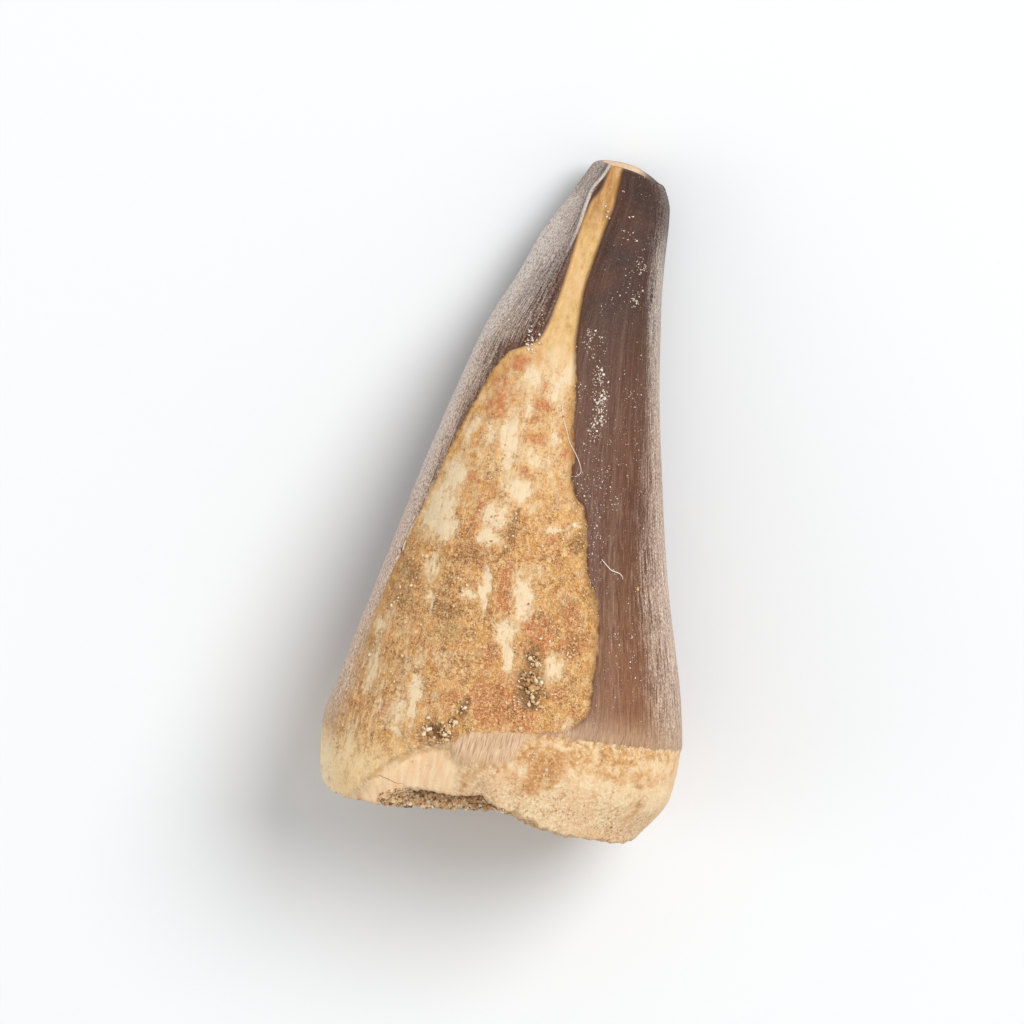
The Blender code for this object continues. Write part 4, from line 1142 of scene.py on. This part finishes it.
def sandy_share(x, parts):
    """1 on the part of the broken base that the chip opens to view, where the sediment covers it."""
    in_chip = smoothstep(*SANDY_START, x) * (1 - smoothstep(*SANDY_END, x))
    return (parts == "base")[:, None] * in_chip * smoothstep(0.2, 0.45, FACING)


def layer_share(parts, shape):
    """0 at the cavity to 1 at the outside over the broken base, and 0 to 1 outwards over the worn tip."""
    share = np.where(parts == "crown", 1.0, 0.0)
    share[parts == "base"] = np.linspace(0, 1, RIM_RINGS)
    share[parts == "cap"] = np.linspace(1, 0.3, CAP_RINGS)
    return np.broadcast_to(share[:, None], shape)


def store_tooth_fields(made, rings, parts):
    """Stores on each corner what the tooth's material reads."""
    x, height = rings[:, :, 0], rings[:, :, 1] + LENGTH / 2
    warp, warp_up = rough(rings, PATCH_WARP), rough(rings, PATCH_WARP_UP)
    front = FACING > LEAST_FRONT
    scar = smoothstep(*BARE_SCAR_DEPTH, scar_depth(x, height))
    scar = scar * (1 - smoothstep(*BARE_SCAR_ENDS, x + 2 * warp))
    fields = {
        "along": height,
        "around": np.broadcast_to(AROUND, x.shape),
        "dentine": dentine_distance(x, height),
        "foot": foot_distance(x, height) + foot_wobble(x, rings),
        "front": np.broadcast_to(smoothstep(*FRONT_LINES, FACING), x.shape),
        "carina": np.where(FACING > 0, x - carina_place(height), 1.0),
        "film": film_and_sheen_share(x, height),
        "thin": thin_share(x, height, warp),
        "sliver": sliver_shade_share(x, height),
        "streaky": streaky_share(x, height),
        "scar": scar,
        "broken": broken_share(x, parts),
        "layer": layer_share(parts, x.shape),
        "sandy": sandy_share(x, parts),
        "bed": ellipses(x + 0.5 * warp, height + 0.5 * warp_up, GRAIN_BEDS) * front,
    }
    patches = {"cream": CREAM, "rust": RUST, "brown": BROWN, "olive": OLIVE, "gold": GOLD_AND_LEDGE_SHADE}
    for name, shapes in patches.items():
        fields[name] = ellipses(x + warp, height + warp_up, shapes) * front
    for name, values in fields.items():
        ends = [values[0].mean(), values[-1].mean()]
        give(made, name, np.concatenate([np.asarray(values, float).ravel(), ends]))


def sediment_material():
    g = Graph("sandy_sediment")
    return g.done(sandy_look(g), 0.92, g.bump(g.noise(0.24, 4.0, 0.75), 0.16))


def make_sediment():
    """The fill of the pulp cavity: a lumpy, dished end inside the rim, and the side that the chip bares."""
    rim = rim_at_angles(chipped=False) + PLUG_INSET
    climbs = np.linspace(0, 1, PLUG_RINGS)[:PLUG_SIDE_RINGS] ** PLUG_SPACING
    sides = [cavity_ring(rim, climb) for climb in climbs]
    centre = sides[0].mean(axis=0)
    end = [centre + (sides[0] - centre) * share for share in np.linspace(0, 1, PLUG_RINGS)[1:-1]]
    rings = np.array(end + sides)
    out = rings - centre
    out[:, :, 1] = 0
    out /= np.maximum(np.linalg.norm(out, axis=2, keepdims=True), 1e-6)
    lumps = rough(rings, *PLUG_LUMPS)
    in_end, in_sides = slice(None, len(end)), slice(len(end), None)
    rings[in_sides] += out[in_sides] * lumps[in_sides, :, None]
    dish = PLUG_DISH * (1 - np.linspace(0, 1, len(end)) ** 4)[:, None]
    dish = dish * (1 + rough(rings[in_end], PLUG_UNEVENNESS))
    rings[in_end, :, 1] += dish + PLUG_END_ROUGHER * lumps[in_end]
    corners = np.vstack([rings.reshape(-1, 3), rings[0].mean(axis=0)])
    columns = rings.shape[1]
    fan = [[(i + 1) % columns, i, len(corners) - 1] for i in range(columns)]
    return link_mesh("sediment_fill", corners, ring_faces(*rings.shape[:2]).tolist() + fan)


# ---------------------------------------------------------------- grains, dust and fibres

# Where sand lies: (x, height, half width, half height, lean, how many, smallest and largest radius)
SAND_BEDS = [
    (0.9, 11.6, 0.5, 0.7, 0, 26, 0.06, 0.15), (1.1, 9.9, 0.75, 1.1, 0, 64, 0.07, 0.19),
    (1.4, 8.8, 0.6, 0.45, 0, 20, 0.07, 0.17), (-4.2, 5.6, 0.95, 0.5, 10, 56, 0.06, 0.17),
    (-3.5, 6.4, 0.35, 0.35, 0, 14, 0.06, 0.15), (-3.05, 7.3, 0.22, 0.4, 0, 12, 0.05, 0.13),
    (-2.8, 7.9, 0.2, 0.25, 0, 8, 0.05, 0.13), (-8.2, 14.5, 1.0, 2.2, 0, 46, 0.05, 0.12),
    (-5.6, 15.0, 1.3, 2.0, 0, 38, 0.05, 0.12), (-9.2, 10.0, 1.0, 3.2, 0, 24, 0.04, 0.10),
    (-5.5, 10.5, 3.0, 3.6, 0, 56, 0.04, 0.09), (1.5, 13.5, 2.8, 4.5, 0, 72, 0.04, 0.09),
    (-1.5, 19.5, 4.5, 3.6, 0, 64, 0.04, 0.09), (-2.6, 26.0, 3.0, 3.5, 0, 36, 0.035, 0.08),
    (2.1, 19.6, 0.45, 0.4, 0, 10, 0.06, 0.12), (-2.2, 20.2, 0.25, 1.0, 0, 14, 0.05, 0.11),
    (-4.5, 22.8, 1.2, 1.0, 0, 14, 0.05, 0.09), (0.0, 7.9, 2.0, 1.0, 0, 30, 0.05, 0.11),
    (3.2, 12.4, 0.7, 0.9, 0, 24, 0.05, 0.10), (3.2, 4.8, 1.6, 1.3, 0, 26, 0.04, 0.09),
    (7.5, 2.2, 3.0, 1.0, 8, 16, 0.04, 0.08), (-9.6, 3.2, 1.4, 2.6, 0, 8, 0.04, 0.09),
    (6.7, 17.5, 0.08, 0.12, 0, 3, 0.09, 0.14), (6.6, 6.25, 0.3, 0.25, 0, 8, 0.04, 0.08),
]
# Pale dust on the enamel, in the same form
DUST_BEDS = [
    (0.3, 32.9, 0.7, 1.0, -40, 60, 0.025, 0.07), (1.2, 30.9, 0.35, 0.7, -20, 50, 0.025, 0.08),
    (1.8, 29.2, 0.4, 1.0, -10, 70, 0.025, 0.09), (1.8, 27.3, 0.5, 0.8, 5, 60, 0.025, 0.08),
    (1.5, 28.5, 1.6, 3.6, -10, 150, 0.02, 0.05), (2.3, 23.3, 1.3, 2.6, 0, 130, 0.02, 0.05),
    (3.4, 18.5, 1.1, 2.4, -10, 80, 0.02, 0.05), (-3.6, 32.2, 0.5, 0.6, -20, 60, 0.03, 0.09),
    (-3.2, 34.0, 0.5, 1.2, 10, 24, 0.02, 0.05), (2.6, 38.6, 0.25, 0.6, 0, 30, 0.025, 0.07),
    (2.6, 36.6, 0.25, 0.6, 0, 30, 0.025, 0.07), (3.8, 29.8, 0.2, 0.7, -10, 20, 0.02, 0.05),
    (1.2, 39.0, 1.4, 5.5, 0, 64, 0.02, 0.05), (3.6, 26.0, 2.2, 9.0, -8, 240, 0.015, 0.045),
    (7.0, 14.0, 2.6, 5.0, -10, 200, 0.015, 0.045), (-6.3, 31.0, 1.2, 6.0, 12, 120, 0.015, 0.045),
    (-9.0, 20.0, 0.8, 6.0, 8, 90, 0.015, 0.045), (0.3, 43.4, 0.05, 0.05, 0, 2, 0.06, 0.08),
    (-0.6, 42.0, 0.3, 0.3, 0, 7, 0.04, 0.09), (1.2, 41.9, 0.1, 0.1, 0, 3, 0.04, 0.08),
]
# Fibres: (radius, lift off the surface, points (x, height) along it)
FIBRES = [
    (0.026, 0.05, [(-0.8, 28.6), (-0.5, 27.7), (-0.1, 26.9), (0.3, 26.1), (0.8, 25.5), (1.2, 24.9),
                   (1.4, 24.4), (1.2, 24.05), (0.85, 23.95)]),
    (0.036, 0.06, [(3.95, 19.0), (4.4, 18.65), (4.8, 18.4), (5.2, 18.35), (5.5, 18.2), (5.6, 18.0)]),
    (0.03, 0.12, [(2.0, 9.65), (2.3, 9.5), (2.7, 9.6), (3.05, 9.85)]),
]
FIBRE_SIDES, FIBRE_STEPS, FIBRE_SMOOTHING, FIBRE_LOOPS = 6, 60, 7, 5
FIBRE_TAPER_START, FIBRE_TAPER = 0.15, 0.3
CLUMP_SIZE, CLUMP_SPREAD, BED_SPREAD, GRAIN_STRETCH = 4, (0.14, 0.32), 0.5, (0.5, 1.5)
# Coarse grains on the fill's end and in the chip: how many, where, and (smallest radius, most added to it)
END_GRAINS, END_ACROSS, END_UP, END_RADII = 700, (-9.5, 9.5), (1.5, 17.5), (0.07, 0.16)
CHIP_GRAINS, CHIP_ACROSS, CHIP_RADII = 320, (-7.4, 1.2), (0.05, 0.1)
CHIP_BELOW_RIM, CHIP_UNDER_EDGE = 0.1, 0.05
STRAY_DUST, STRAY_RADII = 500, (0.015, 0.035)
ABOVE_ALL, LOWEST_GRAIN = 60.0, 3.0
SEED = 11


def ball(fineness):
    """Corners and triangles of a ball of radius 1."""
    made = bmesh.new()
    bmesh.ops.create_icosphere(made, subdivisions=fineness, radius=1.0)
    corners = np.array([vertex.co for vertex in made.verts])
    faces = np.array([[vertex.index for vertex in face.verts] for face in made.faces])
    made.free()
    return corners, faces


def search_tree(made):
    """A tree of a piece's faces in millimetres, for finding where things lie on it."""
    corners = [vertex.co / MM for vertex in made.data.vertices]
    return BVHTree.FromPolygons(corners, [tuple(face.vertices) for face in made.data.polygons])


def lying_place(tree, x, height):
    """The place on the upper side at x and a height above the base, or None beside the piece."""
    return tree.ray_cast(Vector((x, height - LENGTH / 2, ABOVE_ALL)), Vector((0, 0, -1)))[0]


def spots_in(beds, chance):
    """Random places in soft beds, as (x, height, radius), which lie in small clumps drawn out lengthways."""
    spots = []
    for centre_x, centre_height, half_width, half_height, lean, count, smallest, largest in beds:
        tilt = math.radians(lean)
        spread = np.minimum(CLUMP_SPREAD, (half_width, half_height))
        for index in range(count):
            if index % CLUMP_SIZE == 0:
                clump = chance.normal(0, BED_SPREAD, 2) * (half_width, half_height)
            across, along = clump + chance.normal(0, 1, 2) * spread
            x = centre_x + across * math.cos(tilt) + along * math.sin(tilt)
            height = centre_height - across * math.sin(tilt) + along * math.cos(tilt)
            spots.append((x, height, smallest + (largest - smallest) * chance.random() ** 2))
    return spots


def make_grains(name, places, chance, fineness, roughness):
    """Lumpy grains as one mesh, from (place, radius) pairs; each grain gets its own tone."""
    shape, faces = ball(fineness)
    corners, triangles, tones = [], [], []
    for index, (place, radius) in enumerate(places):
        stretch = radius * chance.uniform(*GRAIN_STRETCH, 3)
        turn = np.array(Euler(chance.uniform(0, 2 * math.pi, 3)).to_matrix())
        lumps = 1 + roughness * chance.uniform(-1, 1, (len(shape), 1))
        corners.append((shape * lumps * stretch) @ turn.T + np.array(place))
        triangles.append(faces + index * len(shape))
        tones.append(np.full(len(shape), chance.random()))
    made = link_mesh(name, np.vstack(corners), np.vstack(triangles))
    give(made, "tone", np.concatenate(tones))
    return made


def grains_on(name, tree, beds, chance, fineness, roughness, sink):
    """Grains that lie on the upper side in soft beds, sunk in by a share of their radius."""
    places = []
    for x, height, radius in spots_in(beds, chance):
        place = lying_place(tree, x, height)
        if place is not None and place.z > LOWEST_GRAIN:
            places.append((place + Vector((0, 0, radius * (1 - sink))), radius))
    return make_grains(name, places, chance, fineness, roughness)


def sediment_grains(tooth_tree, sediment_tree, chance):
    """Places of coarse grains on the fill's end and in the chip, as (place, radius) pairs."""
    places = []
    smallest, added = END_RADII
    for _ in range(END_GRAINS):
        start = Vector((chance.uniform(*END_ACROSS), -LENGTH, chance.uniform(*END_UP)))
        place = sediment_tree.ray_cast(start, Vector((0, 1, 0)))[0]
        places.append((place, smallest + added * chance.random() ** 3))
    smallest, added = CHIP_RADII
    for _ in range(CHIP_GRAINS):
        x = chance.uniform(*CHIP_ACROSS)
        height = chance.uniform(rim_height(x) - CHIP_BELOW_RIM, chip_height(x) - CHIP_UNDER_EDGE)
        found = [lying_place(tree, x, height) for tree in (tooth_tree, sediment_tree)]
        highest = max((place for place in found if place), key=lambda place: place.z, default=None)
        places.append((highest, smallest + added * chance.random() ** 2))
    return [(place, radius) for place, radius in places if place is not None]


def dust_all_round(tooth, chance):
    """Places of sparse dust over the whole crown, as (place, radius) pairs."""
    corners = tooth.data.vertices
    picked = chance.integers(0, len(corners), STRAY_DUST)
    return [(corners[i].co / MM, chance.uniform(*STRAY_RADII)) for i in picked]


def make_fibre(name, tree, radius, lift, points):
    """A fine bent tube that follows the surface."""
    points = np.array(points)
    run = run_along(points)
    steps = np.linspace(0, run[-1], FIBRE_STEPS)
    xs = curve_through(list(zip(run, points[:, 0])))(steps)
    heights = curve_through(list(zip(run, points[:, 1])))(steps)
    middle = np.array([lying_place(tree, x, height) for x, height in zip(xs, heights)])
    even = np.full(FIBRE_SMOOTHING, 1 / FIBRE_SMOOTHING)
    middle[:, 2] = np.convolve(np.pad(middle[:, 2], FIBRE_SMOOTHING // 2, "edge"), even, "valid")
    middle[:, 2] += radius + lift * np.sin(np.linspace(0, FIBRE_LOOPS * math.pi, FIBRE_STEPS)) ** 2
    forward = np.gradient(middle, axis=0)
    forward /= np.linalg.norm(forward, axis=1, keepdims=True)
    side = np.cross(forward, (0, 0, 1))
    side /= np.linalg.norm(side, axis=1, keepdims=True)
    above = np.cross(side, forward)
    taper = np.linspace(FIBRE_TAPER_START, math.pi - FIBRE_TAPER_START, FIBRE_STEPS)
    thickness = radius * np.sin(taper)[:, None] ** FIBRE_TAPER
    turns = np.linspace(0, 2 * math.pi, FIBRE_SIDES, endpoint=False)
    rings = [middle + thickness * (side * math.cos(t) + above * math.sin(t)) for t in turns]
    rings = np.array(rings).transpose(1, 0, 2)
    return link_mesh(name, rings.reshape(-1, 3), ring_faces(FIBRE_STEPS, FIBRE_SIDES))


def grain_material(name, darkest, middle):
    g = Graph(name)
    tone, fine = g.stored("tone"), g.noise(0.06, 2.0)
    colour = g.tint(
        g.mix(g.ramp(tone, 0.1, 0.35), darkest, middle),
        (GRAIN_LIGHT, tone, 0.5, 0.75, 1.0),
        (GRAIN_LIGHTEST, tone, 0.88, 0.95, 1.0),
        (GRAIN_SPECK, fine, 0.5, 0.3, 0.4),
    )
    return g.done(colour, 0.6, g.bump(fine, 0.01))


def dust_material():
    g = Graph("pale_dust")
    return g.done(g.mix(g.ramp(g.stored("tone"), 0.3, 0.8), DUST_DARK, DUST_PALE), 0.85)


def fibre_material():
    g = Graph("pale_fibre")
    return g.done(g.mix(g.noise(0.5, 2.0), FIBRE_TAN, FIBRE_PALE), 0.6)


# ---------------------------------------------------------------- floor, light and camera

FRAME_WIDTH = 68.27  # millimetres that the picture is wide at the focus height
FOCUS_HEIGHT = 9.0
LENS, SENSOR = 500.0, 36.0
LOOK_AT = (-2.46, -1.78)
ROLL = math.radians(12.073)  # the tooth's tip leans right in the picture
ROOM_BRIGHTNESS = 0.56
KEY_PLACE, KEY_SIZE, KEY_BRIGHTNESS = (0.54, 0.52, 1.0), 0.80, 0.58
FILL_PLACE, FILL_SIZE, FILL_BRIGHTNESS = (-0.9, -0.3, 0.6), 0.7, 0.06
FLOOR_SIZE = 6.0
CLIP_START, CLIP_END = 0.01, 10.0


def make_floor():
    bpy.ops.mesh.primitive_plane_add(size=FLOOR_SIZE, location=(0, 0, 0))
    floor = bpy.context.object
    floor.name = "floor"
    g = Graph("floor_white")
    floor.data.materials.append(g.done(FLOOR_WHITE, 0.9))


def area_light(name, place, size, brightness, aim=(0, 0, 0.005)):
    """A round soft box facing the tooth: brightness is what it lends a white floor under the tooth."""
    away = Vector(place) - Vector(aim)
    light = bpy.data.lights.new(name, "AREA")
    light.shape, light.size = "DISK", size
    light.energy = brightness * math.pi**2 * away.length**3 / away.z
    made = bpy.data.objects.new(name, light)
    made.location = place
    made.rotation_mode = "QUATERNION"
    made.rotation_quaternion = away.to_track_quat("Z", "Y")
    bpy.context.scene.collection.objects.link(made)


def make_light():
    world = bpy.data.worlds.new("white_room")
    world.use_nodes = True
    background = world.node_tree.nodes["Background"]
    background.inputs["Color"].default_value = (1, 1, 1, 1)
    background.inputs["Strength"].default_value = ROOM_BRIGHTNESS
    bpy.context.scene.world = world
    area_light("key", KEY_PLACE, KEY_SIZE, KEY_BRIGHTNESS)
    area_light("fill", FILL_PLACE, FILL_SIZE, FILL_BRIGHTNESS)


def make_camera():
    data = bpy.data.cameras.new("camera")
    data.lens, data.sensor_width = LENS, SENSOR
    distance = FRAME_WIDTH * LENS / SENSOR
    data.clip_start, data.clip_end = CLIP_START, CLIP_END
    camera = bpy.data.objects.new("camera", data)
    camera.location = (LOOK_AT[0] * MM, LOOK_AT[1] * MM, (FOCUS_HEIGHT + distance) * MM)
    camera.rotation_euler = (0, 0, ROLL)
    bpy.context.scene.collection.objects.link(camera)
    bpy.context.scene.camera = camera


def shift_to_solids(tooth):
    """The small move that puts the tooth's middle over the middle of the solid it stands for."""
    low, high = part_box("tooth")
    corners = np.array([vertex.co for vertex in tooth.data.vertices])
    middle = (corners.min(axis=0) + corners.max(axis=0)) / 2
    return np.array([(low.x + high.x) / 2 - middle[0], (low.y + high.y) / 2 - middle[1], 0.0])


def build():
    chance = np.random.default_rng(SEED)
    tooth, sediment = make_tooth(), make_sediment()
    trees = search_tree(tooth), search_tree(sediment)
    grains = grains_on("sand_grains", trees[0], SAND_BEDS, chance, fineness=2, roughness=0.18, sink=0.45)
    dust = grains_on("pale_dust", trees[0], DUST_BEDS, chance, fineness=1, roughness=0.4, sink=0.3)
    stray = make_grains("stray_dust", dust_all_round(tooth, chance), chance, fineness=1, roughness=0.2)
    coarse = sediment_grains(*trees, chance)
    cavity_grains = make_grains("cavity_grains", coarse, chance, fineness=2, roughness=0.18)
    fibres = [make_fibre(f"fibre_{i}", trees[0], *fibre) for i, fibre in enumerate(FIBRES)]
    shift = shift_to_solids(tooth)
    for made in (tooth, sediment, grains, cavity_grains, dust, stray, *fibres):
        corners = np.array([vertex.co for vertex in made.data.vertices]) + shift
        made.data.vertices.foreach_set("co", corners.ravel())
        made.data.update()
    sand = grain_material("sand_grains", GRAIN_DARKEST, GRAIN_MIDDLE)
    cavity_sand = grain_material("cavity_grains", CAVITY_GRAIN_DARKEST, CAVITY_GRAIN_MIDDLE)
    dusty, fluff = dust_material(), fibre_material()
    finish_piece(tooth, tooth_material(), "tooth", "tooth")
    finish_piece(sediment, sediment_material(), "sediment", "cavity_sediment")
    finish_piece(grains, sand, "sediment")
    finish_piece(cavity_grains, cavity_sand, "sediment")
    for made in (dust, stray):
        finish_piece(made, dusty, "sediment")
    for made in fibres:
        finish_piece(made, fluff, "sediment")


make_camera()
make_light()
make_floor()
build()
bpy.context.scene.view_settings.view_transform = "Standard"
